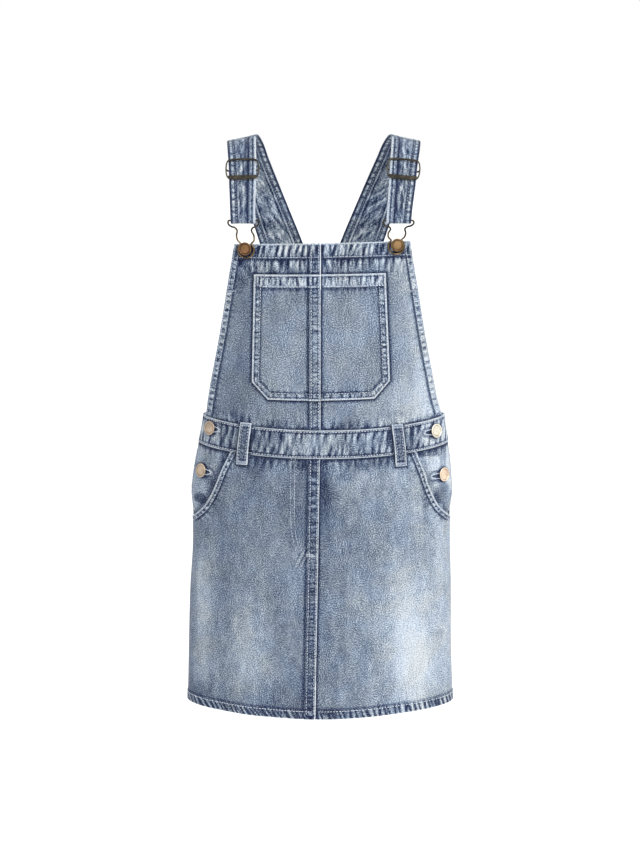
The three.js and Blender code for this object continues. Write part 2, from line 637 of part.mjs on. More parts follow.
function add(name, geometry, colour, roughness, metalness) {
  const material = new THREE.MeshStandardMaterial({ color: colour, roughness, metalness });
  const mesh = new THREE.Mesh(geometry, material);
  mesh.name = name;
  dress.add(mesh);
}

const cloth = (name, geometry, colour) => add(name, geometry, colour, 0.9, 0);
const metal = (name, geometry, colour) => add(name, geometry, colour, 0.4, 0.9);

const bandEnd = SIDE + GAP / perRadian(SIDE, BAND.top);
let frontBand = waistband(-SIDE, SIDE, 29);
for (const side of [-1, 1]) frontBand = withButtonhole(frontBand, side, SIDE_BUTTONS[0]);
cloth('waistband_front', frontBand, BAND_COLOUR);
cloth('waistband_back', waistband(bandEnd, 2 * Math.PI - bandEnd, 25), BAND_COLOUR);
cloth('back_skirt', backSkirt(), CLOTH_COLOUR);

for (const side of [-1, 1]) {
  const end = endOf(side);
  cloth(`front_skirt_${end}`, frontSkirt(side), CLOTH_COLOUR);
  cloth(`side_front_${end}`, withButtonhole(sideFront(side), side, SIDE_BUTTONS[1]), CLOTH_COLOUR);
  cloth(`button_stand_${end}`, buttonStand(side), BAND_COLOUR);
  cloth(`bib_${end}`, bib(side), CLOTH_COLOUR);
  cloth(`bib_pocket_${end}`, bibPocket(side), CLOTH_COLOUR);
  cloth(`belt_loop_${end}`, beltLoop(side), BAND_COLOUR);
  cloth(`strap_${end}`, strap(side), STRAP_COLOUR);
  metal(`hook_${end}`, hook(side), WIRE_COLOUR);
  metal(`slider_${end}`, slider(side), WIRE_COLOUR);
  const bibFoot = HEM_RISE + GAP;
  const onBib = BIB_BUTTON[end];
  const bibBlank = buttonBlank(bibFoot, HEM_RISE + BIB_BUTTON.stand, BIB_BUTTON.radius);
  metal(`bib_button_${end}`, standOut(bibBlank, turnAt(onBib.x, onBib.z), onBib.z), BUTTON_COLOUR);
  for (const button of SIDE_BUTTONS) {
    const blank = buttonBlank(GAP - STAND.under, button.lift + GAP, BUTTON.radius);
    const { x, z } = button[end];
    metal(`${button.name}_${end}`, standOut(blank, turnAt(x, z), z), BUTTON_COLOUR);
  }
}

export default dress;
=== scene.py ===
import math

import bpy
import numpy as np
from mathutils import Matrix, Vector


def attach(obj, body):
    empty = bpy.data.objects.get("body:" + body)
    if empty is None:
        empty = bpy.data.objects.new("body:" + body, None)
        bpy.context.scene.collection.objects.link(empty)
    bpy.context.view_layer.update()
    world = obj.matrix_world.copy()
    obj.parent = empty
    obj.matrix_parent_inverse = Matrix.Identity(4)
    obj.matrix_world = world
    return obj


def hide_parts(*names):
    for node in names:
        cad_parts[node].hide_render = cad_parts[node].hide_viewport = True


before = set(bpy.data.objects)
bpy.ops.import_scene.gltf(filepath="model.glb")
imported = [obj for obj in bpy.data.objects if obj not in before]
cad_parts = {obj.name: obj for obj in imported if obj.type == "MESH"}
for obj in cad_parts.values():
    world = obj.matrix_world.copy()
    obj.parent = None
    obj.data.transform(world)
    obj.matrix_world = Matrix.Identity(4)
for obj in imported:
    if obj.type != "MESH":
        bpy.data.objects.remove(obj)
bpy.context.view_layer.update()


# The picture: the dress is seen from the front and a little above, in plain soft studio light
# over a pale floor. The light is a white surround with one soft key from the front right.
MM = 0.001
TARGET = Vector((-1.65, 0.0, -319.5)) * MM
DISTANCE = 2.5
LOOK_DOWN = math.radians(10)
camera_data = bpy.data.cameras.new("camera")
camera_data.sensor_fit = "VERTICAL"
camera_data.sensor_height = 36.0
camera_data.lens = 95.92
camera = bpy.data.objects.new("camera", camera_data)
camera.location = TARGET + Vector((0, -math.cos(LOOK_DOWN), math.sin(LOOK_DOWN))) * DISTANCE
camera.rotation_euler = (math.radians(90) - LOOK_DOWN, 0, 0)
bpy.context.collection.objects.link(camera)
bpy.context.scene.camera = camera

world = bpy.data.worlds.new("white surround")
world.use_nodes = True
world.node_tree.nodes["Background"].inputs["Color"].default_value = (1, 1, 1, 1)
world.node_tree.nodes["Background"].inputs["Strength"].default_value = 1.0
bpy.context.scene.world = world
bpy.context.scene.view_settings.view_transform = "Standard"

key_data = bpy.data.lights.new("key light", "SUN")
key_data.energy = 2.0
key_data.angle = math.radians(14)
key = bpy.data.objects.new("key light", key_data)
key.rotation_euler = Vector((-0.75, 0.85, -0.8)).to_track_quat("-Z", "Y").to_euler()
bpy.context.collection.objects.link(key)

FLOOR_LEVEL = -1.05
FLOOR_REACH = 14.0
floor_mesh = bpy.data.meshes.new("floor")
corners = [(x * FLOOR_REACH, y * FLOOR_REACH, FLOOR_LEVEL) for x, y in [(-1, -1), (1, -1), (1, 1), (-1, 1)]]
floor_mesh.from_pydata(corners, [], [(0, 1, 2, 3)])
floor = bpy.data.objects.new("floor", floor_mesh)
floor_paint = bpy.data.materials.new("pale floor")
floor_paint.use_nodes = True
floor_paint.node_tree.nodes["Principled BSDF"].inputs["Base Color"].default_value = (0.93, 0.93, 0.93, 1)
floor_paint.node_tree.nodes["Principled BSDF"].inputs["Roughness"].default_value = 0.95
floor_mesh.materials.append(floor_paint)
bpy.context.collection.objects.link(floor)


# Back of the skirt: one panel of washed denim, seamed to the waistband above and turned up and
# stitched at the hem, where washing has left the slanted ropes that all such hems show.
CLOTH = 1.2
GAP = 0.3
HEM_RISE = 0.6
HEM_FOLD = 10.0
HEM_ROW = HEM_FOLD - 1.2
SIDE = math.radians(92)
GRID = 1.6
BODY = np.array([
    # height, half width, depth in front, depth behind, squareness, lean
    (-640, 149.2, 72, 72, 0.04, -1.3),
    (-562, 146.5, 72, 74, 0.045, -1.7),
    (-504, 145.3, 71.5, 75, 0.05, -1),
    (-443, 142.6, 71, 76, 0.06, 0),
    (-409, 142.4, 70.5, 75, 0.07, 0),
    (-391, 144, 70, 73, 0.075, 0.3),
    (-370, 142.3, 68, 68, 0.08, 0.8),
    (-336, 137.4, 64.5, 58, 0.08, 2),
    (-305, 132.6, 63, 55, 0.08, 2.5),
    (-270, 137.5, 66, 58, 0.07, 1.2),
    (-220, 150, 69.5, 62, 0.06, 0.4),
    (-160, 170, 70, 64, 0.05, 0),
    (-110, 190, 69.5, 62, 0.05, 0),
])


def smooth_line(table, column):
    """A smooth line through one column of a table, read at any height."""
    heights = np.asarray(table, float)[:, 0]
    values = np.asarray(table, float)[:, column]
    span = np.diff(heights)
    slope = np.diff(values) / span
    before, after = slope[:-1], slope[1:]
    total = np.where(before + after == 0, 1, before + after)
    inner = np.where(before * after > 0, 2 * before * after / total, 0)
    bend = np.concatenate([slope[:1], inner, slope[-1:]])

    def at(z):
        z = np.clip(z, heights[0], heights[-1])
        i = np.clip(np.searchsorted(heights, z) - 1, 0, len(span) - 1)
        t = (z - heights[i]) / span[i]
        s = t * t * (3 - 2 * t)
        curve = bend[i] * t * (1 - t) ** 2 - bend[i + 1] * t * t * (1 - t)
        return values[i] * (1 - s) + values[i + 1] * s + span[i] * curve

    return at


half_at, front_at, back_at, square_at, lean_at = (smooth_line(BODY, column) for column in range(1, 6))


def ease(t):
    t = np.clip(t, 0, 1)
    return t * t * (3 - 2 * t)


def mix(a, b, t):
    return a + (b - a) * t


def body_point(turn, z):
    """A point of the body at an angle round from the centre front and at a height."""
    square = square_at(z)
    depth = np.where(np.abs(turn) < math.pi / 2, front_at(z), back_at(z))
    across = (np.sin(turn) - square * np.sin(3 * turn)) / (1 + square)
    x, y, z = np.broadcast_arrays(half_at(z) * across + lean_at(z), -depth * np.cos(turn), z)
    return np.stack([x, y, z], -1)


def unit(vectors):
    return vectors / np.linalg.norm(vectors, axis=-1, keepdims=True)


def skin(turn, z, out):
    """The same point moved out along the cloth's own normal."""
    around = body_point(turn + 0.002, z) - body_point(turn - 0.002, z)
    up = body_point(turn, z + 1.0) - body_point(turn, z - 1.0)
    return body_point(turn, z) + unit(np.cross(around, up)) * np.asarray(out)[..., None]


def per_radian(turn, z):
    return np.linalg.norm(body_point(turn + 0.01, z) - body_point(turn - 0.01, z), axis=-1) / 0.02


LEVEL_STEP = 5.0
LEVELS = np.arange(-645.0, -99.0, LEVEL_STEP)
TURNS = np.linspace(0, math.pi, 241)
rings = body_point(TURNS[None, :], LEVELS[:, None])
steps = np.linalg.norm(np.diff(rings[..., :2], axis=1), axis=-1)
ARC = np.concatenate([np.zeros((len(LEVELS), 1)), np.cumsum(steps, axis=1)], axis=1)


def round_mm(turn, z):
    """How far round the body a point lies from the centre front, along the cloth."""
    turn, z = np.broadcast_arrays(np.asarray(turn, float), np.asarray(z, float))
    row = np.clip((z - LEVELS[0]) / LEVEL_STEP, 0, len(LEVELS) - 1.001)
    column = np.clip(np.abs(turn) / (TURNS[1] - TURNS[0]), 0, len(TURNS) - 1.001)
    i, j = row.astype(int), column.astype(int)
    low = mix(ARC[i, j], ARC[i, j + 1], column - j)
    high = mix(ARC[i + 1, j], ARC[i + 1, j + 1], column - j)
    return np.sign(turn) * mix(low, high, row - i)


def turn_of(s, z):
    """The angle that lies a length of cloth round from the centre front."""
    turn = s / 110.0
    for again in range(6):
        turn = turn - (round_mm(turn, z) - s) / per_radian(turn, z)
    return turn


CLOUD_WIDE, CLOUD_HIGH = 61, 67


def cloud(x, y, seed):
    """Soft uneven patches from -1 to 1, one to a unit."""
    x, y = np.broadcast_arrays(np.asarray(x, float), np.asarray(y, float))
    spots = np.random.default_rng(seed).uniform(-1, 1, (CLOUD_WIDE, CLOUD_HIGH))
    i, j = np.floor(x).astype(int), np.floor(y).astype(int)
    a, b = ease(x - i), ease(y - j)

    def spot(i, j):
        return spots[i % CLOUD_WIDE, j % CLOUD_HIGH]

    return mix(mix(spot(i, j), spot(i + 1, j), a), mix(spot(i, j + 1), spot(i + 1, j + 1), a), b)


DICE_ROWS = 211


def gathers(along, off, seed, period, slant=0.0):
    """Uneven puckers across a sewn edge: 1 on a worn ridge, 0 in a dark trough."""
    along, off = np.broadcast_arrays(along + slant * np.asarray(off, float), np.asarray(off, float))
    dice = np.random.default_rng(seed).uniform(-1, 1, (DICE_ROWS, 5))
    cell = np.floor(along / period).astype(int)
    height = 0.53 + 0.15 * cloud(3.4 * along / period, off / 9.0, seed + 1)
    for beside_it in (-1, 0, 1):
        shift, lean, width, reach, depth = np.moveaxis(dice[(cell + beside_it) % DICE_ROWS], -1, 0)
        middle = (cell + beside_it + 0.5 + 0.27 * shift) * period
        gap = (along - middle - 0.2 * lean * np.clip(off, 0, 12)) / (period * (0.25 + 0.07 * width))
        fade = ease(1.5 - off / (period * (1.9 + 0.8 * reach)))
        height = height - (0.98 + 0.5 * depth) * fade * (hump(gap, 1.0) - 0.56 * hump(gap, 1.85))
    return ease(height)


def hump(d, width):
    return np.exp(-(d / width) ** 2)


def patch(x, z, middle, wide, level, high):
    """A soft round patch, 1 at its middle."""
    return hump(x - middle, wide) * hump(z - level, high)


def within(d, start, end, rise, fall):
    """1 from one distance to another, eased in and out."""
    return ease((d - start) / rise) * ease((end - d) / fall)


def fading(d, start, fade):
    """1 up to a distance, dying away past it."""
    return np.exp(-np.maximum(d - start, 0) / fade)


def past(d, start, rise, fade):
    """Eases in at a distance and dies away past it."""
    return ease((d - start) / rise) * fading(d, start, fade)


def folded(d, width):
    """1 over a fold's width in from its edge, with a sharp step down."""
    return ease((width + 0.25 - d) / 0.5)


def points_from(*coordinates):
    """Points from their coordinates, each one number or many."""
    return np.stack(np.broadcast_arrays(*coordinates), -1)


def run_along(line):
    """How far along a line each of its points lies."""
    return np.concatenate([[0], np.cumsum(np.linalg.norm(np.diff(line, axis=0), axis=1))])


def worn_and_highlight_line(tone, d, width, white, share):
    """The white line along a folded edge: rubbed white by washing, and painted brighter as a highlight where
    light catches the edge.
    """
    return mix(tone, white, share * np.minimum(1, 1.5 * hump(d, width)))


def indigo_and_shadow_line(tone, d, width, share):
    """A dark line: the unwashed indigo that stays in a groove, and painted shadow where it lies along a
    raised edge or step.
    """
    return mix(tone, 0.0, share * np.minimum(1, 1.15 * hump(d, width)))


def indigo_and_shadow_lines(tone, *lines):
    """Several dark lines of groove indigo and painted shadow, each as its distance, width and share."""
    for line in lines:
        tone = indigo_and_shadow_line(tone, *line)
    return tone


SOFT_EDGE = 0.5


def rounded(d, radius):
    """How far a cloth edge falls away at a distance from it."""
    t = np.clip(1 - np.maximum(d, 0) / radius, 0, 1)
    return radius * (1 - np.sqrt(1 - t * t))


def linear(r, g, b):
    """A colour read by eye as 0 to 255, as the shader wants it."""
    def channel(value):
        value = value / 255.0
        return value / 12.92 if value <= 0.04045 else ((value + 0.055) / 1.055) ** 2.4
    return (channel(r), channel(g), channel(b), 1.0)


def node(tree, kind, inputs=None, **settings):
    """A shading node with its settings, and its sockets set or linked by name or number."""
    made = tree.nodes.new(kind)
    for setting, value in settings.items():
        setattr(made, setting, value)
    return feed(made, inputs or {})


def feed(made, inputs):
    """Sets or links the sockets of a shading node."""
    for socket, value in inputs.items():
        if hasattr(value, "is_linked"):
            made.id_data.links.new(value, made.inputs[socket])
        else:
            made.inputs[socket].default_value = value
    return made


def reckon(tree, operation, *values):
    return node(tree, "ShaderNodeMath", dict(enumerate(values)), operation=operation).outputs[0]


def new_paint(name):
    """A material, its node tree, its shader and each place's tone: how worn it is, and on the denim also its
    painted shade and highlights.
    """
    paint = bpy.data.materials.new(name)
    paint.use_nodes = True
    tree = paint.node_tree
    worn = node(tree, "ShaderNodeAttribute", attribute_name="wash").outputs["Fac"]
    return paint, tree, tree.nodes["Principled BSDF"], worn


LIGHT = 1.5
WASH_COLOURS = [
    (0.0, (24, 34, 66)),
    (0.2, (64, 80, 112)),
    (0.5, (125, 138, 156)),
    (0.75, (169, 184, 200)),
    (0.92, (200, 210, 222)),
    (1.0, (235, 242, 248)),
]
WARM, COOL = (0.99, 0.975, 0.945), (0.955, 0.985, 1.03)


def denim(name, grain, slub_turn):
    """Washed denim: its blue follows each place's tone, which holds how worn it is and the painted shade and
    highlights along seams and edges, with grain, slubs and twill.
    """
    paint, tree, shader, worn = new_paint(name)
    cloth = node(tree, "ShaderNodeUVMap", uv_map="cloth").outputs["UV"]

    def streaks(size, turned, scale, detail, seed):
        placed = node(tree, "ShaderNodeMapping", {
            "Vector": cloth, "Scale": (*size, 1), "Rotation": (0, 0, turned), "Location": (seed, seed, 0)})
        wanted = {"Vector": placed.outputs[0], "Scale": scale, "Detail": detail}
        return node(tree, "ShaderNodeTexNoise", wanted, noise_dimensions="2D").outputs["Fac"]

    def added(value, amount, base):
        return reckon(tree, "ADD", reckon(tree, "MULTIPLY_ADD", value, amount, -0.5 * amount), base)

    speckle = streaks((1, 1), 0, 900, 1, 0.3)
    slubs = streaks((1, 0.13), slub_turn, 700, 2, 0.7)
    patches = streaks((1, 0.7), 0, 95, 2, 0.1)
    drawn = node(tree, "ShaderNodeAttribute", attribute_name="pucker").outputs["Fac"]
    level, upright = streaks((0.22, 1), 0, 330, 1.2, 0.8), streaks((1, 0.22), 0, 330, 1.2, 0.5)
    crease = node(tree, "ShaderNodeMix", {0: reckon(tree, "GREATER_THAN", drawn, 0.0), 2: level, 3: upright})
    centred = reckon(tree, "SUBTRACT", crease.outputs[0], 0.5)
    shade = added(patches, 0.12, added(slubs, 0.24, added(speckle, grain, worn)))
    shade = reckon(tree, "MULTIPLY_ADD", centred, reckon(tree, "ABSOLUTE", drawn), shade)
    ramp = node(tree, "ShaderNodeValToRGB", {0: shade})
    while len(ramp.color_ramp.elements) < len(WASH_COLOURS):
        ramp.color_ramp.elements.new(0.5)
    for element, (place, colour) in zip(ramp.color_ramp.elements, WASH_COLOURS):
        element.position = place
        element.color = [channel / LIGHT for channel in linear(*colour)[:3]] + [1.0]
    drift = node(tree, "ShaderNodeMapRange", {
        "Value": streaks((1, 1), 0, 34, 1.5, 0.9), "From Min": 0.36, "From Max": 0.64})
    tint = node(tree, "ShaderNodeMix", {0: drift.outputs[0], 6: (*WARM, 1), 7: (*COOL, 1)}, data_type="RGBA")
    aged = node(tree, "ShaderNodeMix", {0: 1.0, 6: ramp.outputs[0], 7: tint.outputs[2]},
                data_type="RGBA", blend_type="MULTIPLY")
    slope = node(tree, "ShaderNodeMapping", {"Vector": cloth, "Rotation": (0, 0, math.radians(28))})
    twill = node(tree, "ShaderNodeTexWave", {"Vector": slope.outputs[0], "Scale": 330, "Distortion": 0.6},
                 wave_type="BANDS")
    weave = reckon(tree, "ADD", twill.outputs["Fac"], speckle)
    bump = node(tree, "ShaderNodeBump", {"Height": weave, "Strength": 0.35, "Distance": 0.00025})
    feed(shader, {
        "Base Color": aged.outputs[2], "Normal": bump.outputs[0], "Roughness": 0.92,
        "Specular IOR Level": 0.18, "Sheen Weight": 0.08, "Sheen Roughness": 0.5,
    })
    return paint


denim_cloth = denim("washed denim", 1.65, 0.0)


def piece(name, points, faces, wash, uv, paint):
    """A mesh object in metres from points in millimetres, its faces looking out."""
    corners = points[faces]
    volume = np.einsum("ij,ij->", corners[:, 0], np.cross(corners[:, 1], corners[:, 2]))
    volume += np.einsum("ij,ij->", corners[:, 0], np.cross(corners[:, 2], corners[:, 3]))
    if volume < 0:
        faces = faces[:, ::-1]
    mesh = bpy.data.meshes.new(name)
    mesh.from_pydata((points * MM).tolist(), [], faces.tolist())
    mesh.attributes.new("wash", "FLOAT", "POINT").data.foreach_set("value", np.clip(wash, 0, 1).astype("f"))
    layer = mesh.uv_layers.new(name="cloth")
    layer.data.foreach_set("uv", (uv[faces.ravel()] * MM).astype("f").ravel())
    mesh.materials.append(paint)
    mesh.shade_smooth()
    made = bpy.data.objects.new(name, mesh)
    bpy.context.collection.objects.link(made)
    return made


LINING_WASH = 0.74
CREASE = 1.35


def panel(name, outer, inner, wash, u, v, paint, pucker):
    """A closed piece of cloth between two grids; pucker sets its fine creases, below 0 level ones."""
    rows, columns = outer.shape[:2]
    face = np.arange(rows * columns).reshape(rows, columns)
    back = face + rows * columns

    def strip(a, b, c, d):
        return points_from(a.ravel(), b.ravel(), c.ravel(), d.ravel())

    faces = np.concatenate([
        strip(face[:-1, :-1], face[1:, :-1], face[1:, 1:], face[:-1, 1:]),
        strip(back[:-1, :-1], back[:-1, 1:], back[1:, 1:], back[1:, :-1]),
        strip(back[0, :-1], face[0, :-1], face[0, 1:], back[0, 1:]),
        strip(face[-1, :-1], back[-1, :-1], back[-1, 1:], face[-1, 1:]),
        strip(back[:-1, 0], back[1:, 0], face[1:, 0], face[:-1, 0]),
        strip(face[:-1, -1], face[1:, -1], back[1:, -1], back[:-1, -1]),
    ])
    points = np.concatenate([outer.reshape(-1, 3), inner.reshape(-1, 3)])
    lining = np.full(rows * columns, LINING_WASH)
    lining[face[[0, -1], :].ravel()] = wash[[0, -1], :].ravel()
    lining[face[:, [0, -1]].ravel()] = wash[:, [0, -1]].ravel()
    uv = points_from(np.concatenate([u.ravel()] * 2), np.concatenate([v.ravel()] * 2))
    made = piece(name, points, faces, np.concatenate([wash.ravel(), lining]), uv, paint)
    creases = np.concatenate([(CREASE * pucker + 0 * wash).ravel(), 0 * lining]).astype("f")
    made.data.attributes.new("pucker", "FLOAT", "POINT").data.foreach_set("value", creases)
    return made


EDGE = np.array([0, 0.15, 0.45, 0.9, 1.5])


def rim_gap(down, across):
    """How far the points of a grid laid down and across lie from its rim."""
    from_ends = np.minimum(down, down[-1] - down)[:, None]
    return np.minimum(from_ends, np.minimum(across, across[-1] - across)[None, :])


def nearest(*distances):
    """The smallest of several distances at each place."""
    return np.minimum.reduce(np.broadcast_arrays(*distances))


def spread(length, starts, ends, pitch):
    """Places along a length: close together at both ends and even in the middle."""
    starts, ends = np.asarray(starts, float), np.asarray(ends, float)
    count = max(2, int(round((length - starts[-1] - ends[-1]) / pitch)))
    middle = np.linspace(starts[-1], length - ends[-1], count + 1)[1:-1]
    return np.concatenate([starts, middle, length - ends[::-1]])


def cotton(name):
    """Stitching thread: soft blue-white cotton that has taken up some indigo."""
    paint, tree, shader, worn = new_paint(name)
    cloth = node(tree, "ShaderNodeUVMap", uv_map="cloth").outputs["UV"]
    fibre = node(tree, "ShaderNodeTexNoise", {"Vector": cloth, "Scale": 2600.0}, noise_dimensions="2D")
    fibre = fibre.outputs["Fac"]
    ramp = node(tree, "ShaderNodeValToRGB", {0: reckon(tree, "MULTIPLY_ADD", fibre, 0.3, worn)})
    ramp.color_ramp.elements[0].color = linear(78, 93, 122)
    ramp.color_ramp.elements[0].position = 0.15
    ramp.color_ramp.elements[1].color = linear(222, 230, 240)
    bump = node(tree, "ShaderNodeBump", {"Height": fibre, "Distance": 0.0001})
    feed(shader, {"Base Color": ramp.outputs[0], "Normal": bump.outputs[0]})
    feed(shader, {"Roughness": 0.8, "Specular IOR Level": 0.25})
    return paint


thread_cotton = cotton("cotton thread")
PITCH = 3.2
STITCH = 2.5
THREAD = 0.62
THREAD_SIDES = 6
RING = np.arange(THREAD_SIDES) * 2 * math.pi / THREAD_SIDES
STITCH_RINGS = np.array([(0, 0.3, -0.42), (0.18, 0.95, 0.1), (0.82, 0.95, 0.1), (1, 0.3, -0.42)])


class Stitching:
    """Rows of stitches that end up as one piece of thread."""

    def __init__(self, name):
        self.name = name
        self.points, self.wash, self.uv = [], [], []
        self.random = np.random.default_rng(sum(map(ord, name)))

    def sew(self, place, line, pitch=PITCH, long=STITCH, thick=THREAD, tone=0.62):
        """Lays stitches along a line drawn on the flat cloth; place(a, b, lift) seats a point."""
        line = np.asarray(line, float)
        lengths = run_along(line)
        starts = np.arange(0.4, max(lengths[-1] - long, 0.5), pitch)
        starts = starts + self.random.uniform(-0.25, 0.25, len(starts))
        centres = []
        for share in (0.0, 1.0):
            here = starts + share * long
            centres.append(np.stack([np.interp(here, lengths, line[:, k]) for k in (0, 1)], -1))
        first, last = (place(end[:, 0], end[:, 1], 0.0) for end in centres)
        out = unit(place(centres[0][:, 0], centres[0][:, 1], 1.0) - first)
        sideways = unit(np.cross(last - first, out))
        shape = []
        for share, wide, lift in STITCH_RINGS:
            middle = mix(first, last, share) + out * (lift + 0.12)
            for angle in RING:
                push = sideways * math.cos(angle) + out * math.sin(angle) * 0.8
                shape.append(middle + push * wide * thick / 2)
        shape = np.stack(shape, 1)
        self.points.append(shape.reshape(-1, 3))
        tones = np.clip(tone + self.random.uniform(-0.22, 0.22, len(starts)), 0.05, 1)
        self.wash.append(np.repeat(tones, shape.shape[1]))
        self.uv.append(shape.reshape(-1, 3)[:, [0, 2]])

    def finish(self):
        points = np.concatenate(self.points)
        per = len(STITCH_RINGS) * THREAD_SIDES
        one = []
        for ring in range(len(STITCH_RINGS) - 1):
            for k in range(THREAD_SIDES):
                a, b = ring * THREAD_SIDES + k, ring * THREAD_SIDES + (k + 1) % THREAD_SIDES
                one.append((a, b, b + THREAD_SIDES, a + THREAD_SIDES))
        last = per - THREAD_SIDES
        one += [(0, 3, 2, 1), (0, 5, 4, 3)]
        one += [(last, last + 1, last + 2, last + 3), (last, last + 3, last + 4, last + 5)]
        faces = (np.arange(len(points) // per)[:, None, None] * per + np.array(one)[None]).reshape(-1, 4)
        wash, uv = np.concatenate(self.wash), np.concatenate(self.uv)
        made = piece(self.name, points, faces, wash, uv, thread_cotton)
        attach(made, "root")


def front_dip(turn):
    return ease(np.cos(turn))


def band_bottom(turn):
    return -335.5 - 8.0 * front_dip(turn)


def hem_at(turn):
    return -628.0 - 4.0 * np.cos(turn) ** 2


def hem_relief(s, d_hem, seed, slant):
    """The roped hem: how far it sinks, and how worn it is, over the turned-up strip."""
    ropes = gathers(s, d_hem, seed, 6.3, slant)
    inside = within(d_hem, 0.3, HEM_FOLD, 1.5, 1.5)
    above = past(d_hem, HEM_FOLD, 1.0, 7.0)
    sink = 0.75 * (1 - ropes) * inside + 0.35 * (1 - ropes) * above
    fold = ease((HEM_FOLD + 0.4 - d_hem) / 0.8)
    tone = fold * (1.6 * (ropes - 0.78)) + above * 0.34 * (ropes - 0.62)
    tone = tone - 0.30 * hump(d_hem - HEM_FOLD - 1.3, 1.2)
    return sink, tone


def back_cloth(turn, z):
    """Height of the outer face, shift of both faces, and wear of the back of the skirt."""
    around = np.where(turn > math.pi, turn - 2 * math.pi, turn)
    s = round_mm(around, z)
    reach = round_mm(np.full_like(s, SIDE), z)
    middle = round_mm(np.full_like(s, math.pi), z)
    from_middle = (middle - np.abs(s)) * np.sign(s)
    d_side = np.abs(s) - reach
    d_top = band_bottom(turn) - GAP - z
    d_hem = z - hem_at(turn)
    d_edge = nearest(d_side, d_top, d_hem)
    ripples = gathers(s, d_top, 41, 8.8)
    near_band = past(d_top, 0, 2.0, 9.0)
    sink, rope_tone = hem_relief(s, d_hem, 43, 0.55)
    shift = -0.6 * (1 - ripples) * near_band
    calm = ease(d_side / 30) * ease(d_top / 40)
    waves = 1.1 * cloud(s / 46, z / 150, 45) + 0.9 * cloud(s / 30, z / 110, 46) * ease((-430 - z) / 150)
    shift = shift + calm * waves
    fold = HEM_RISE * folded(d_hem, HEM_FOLD)
    out = fold - sink - rounded(d_edge, SOFT_EDGE)
    seat = hump(np.abs(from_middle) - 58, 34) * hump(z + 440, 62)
    tone = 0.50 + 0.14 * seat + 0.05 * cloud(s / 40, z / 70, 47) + 0.06 * cloud(s / 9, z / 26, 48)
    tone = tone + 0.11 * (around > 0) * fading(d_side, 0, 32)
    under = fading(d_top, 3, 14)
    tone = tone - 0.24 * under * ease(cloud(s / 17, z / 12, 49) * 1.6 + 0.3) - 0.05 * ease((-570 - z) / 50)
    tone = tone + 0.42 * (ripples - 0.6) * near_band + rope_tone
    tone = indigo_and_shadow_lines(tone, (d_top, 1.3, 0.7), (d_side - 3.0, 0.8, 0.45))
    tone = worn_and_highlight_line(tone, d_side, 1.0, 0.85, 0.7)
    tone = worn_and_highlight_line(tone, d_hem, 0.9, 0.9, 0.6)
    return out, shift, tone, near_band


back_edge = SIDE + GAP / per_radian(SIDE, -500.0)
width_here = 2 * (round_mm(math.pi, -500.0) - round_mm(back_edge, -500.0))
columns = spread(float(width_here), EDGE, EDGE, 1.9) / float(width_here)
length_here = 628.0 - 335.5
hem_rows = [*EDGE[:4], 1.6, 2.6, 3.8, 5.0, 6.2, 7.4, 8.5, 9.3, 9.75, 10.25, 10.8, 11.6]
rows = spread(length_here, [*EDGE, 2.4, 3.4], hem_rows, 1.9) / length_here
turn = mix(back_edge, 2 * math.pi - back_edge, columns)[None, :] + np.zeros((len(rows), 1))
z = mix(band_bottom(turn) - GAP, hem_at(turn), rows[:, None])
out, shift, tone, pucker = back_cloth(turn, z)
edge_fall = rounded(rim_gap(rows * length_here, columns * width_here), SOFT_EDGE)
u = (columns[None, :] - 0.5) * width_here + 0 * z
back_skirt = panel("back_skirt_denim", skin(turn, z, out + shift), skin(turn, z, shift + edge_fall - CLOTH),
                   tone, u, z, denim_cloth, pucker)
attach(back_skirt, "root")
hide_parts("back_skirt")


def back_place(turn, z, lift):
    out, shift = back_cloth(turn, z)[:2]
    return skin(turn, z, out + shift + lift)


back_thread = Stitching("back_skirt_stitching")
sweep = np.linspace(back_edge + 0.02, 2 * math.pi - back_edge - 0.02, 160)


def sew_round(stitching, place, turns, heights, **how):
    """Sews a row given as angles and heights, measured along the cloth."""
    run = run_along(place(turns, heights, 0.0))

    def seated(a, b, lift):
        turn = np.interp(a, run, turns)
        return place(turn, np.interp(a, run, heights) + 0 * b, lift)

    stitching.sew(seated, points_from(run, 0.0), **how)


sew_round(back_thread, back_place, sweep, hem_at(sweep) + HEM_ROW, tone=0.8)
for sign in (-1, 1):
    down = np.linspace(-345.0, -618.0, 90)
    near_side = back_edge + 2.2 / per_radian(np.full_like(down, SIDE), down)
    turns = near_side if sign > 0 else 2 * math.pi - near_side
    sew_round(back_thread, back_place, turns, down, tone=0.5)
back_thread.finish()


# Fronts of the skirt: two denim panels that meet at the centre front, the left one lapped over
# the right with a topstitched strip, each cut away in a scoop at the hip for the hand pocket.
LAP_RISE = 1.0
LAP_WIDTH = 12.0
SCOOP_BAND = 6.0
SCOOP_TOP = -340.0
LOOP_TOP, LOOP_END = (80.8, -307.4), (85.9, -353.4)
LOOP_WIDTH, LOOP_THICK, LOOP_LONG = 12.0, 1.8, LOOP_TOP[1] - LOOP_END[1]
RIGHT_DROP = 1.5
lap_x = smooth_line([(-640, -7.3), (-487, -4.3), (-350, -2), (-300, -1.1), (-100, -1.1)], 1)
SCOOP = [(-419.5, 92), (-416, 82), (-409, 73.4), (-398.5, 66.4), (-386, 62.2), (-362, 58.2), (-330, 52.4)]
scoop_degrees = smooth_line(SCOOP, 1)
MIDDLE_COLUMNS = 104
SIDES = ((-1, "left"), (1, "right"))
LAP_ROWS = (2.0, 9.6)
FLY_TACK = -447.0
FLY = np.array([
    # across, height, and how the second row of stitches lies beside and above the first
    (-34.5, -343, 1, 0), (-34, -380, 1, 0), (-33.4, -410, 1, 0), (-31.6, -428, 0.9, 0.2),
    (-28.4, -438, 0.75, 0.5), (-24, -445, 0.4, 0.9), (-19.5, -449, 0, 1),
])


def scoop_turn(z):
    return np.where(z <= SCOOP[0][0], SIDE, np.radians(scoop_degrees(z)))


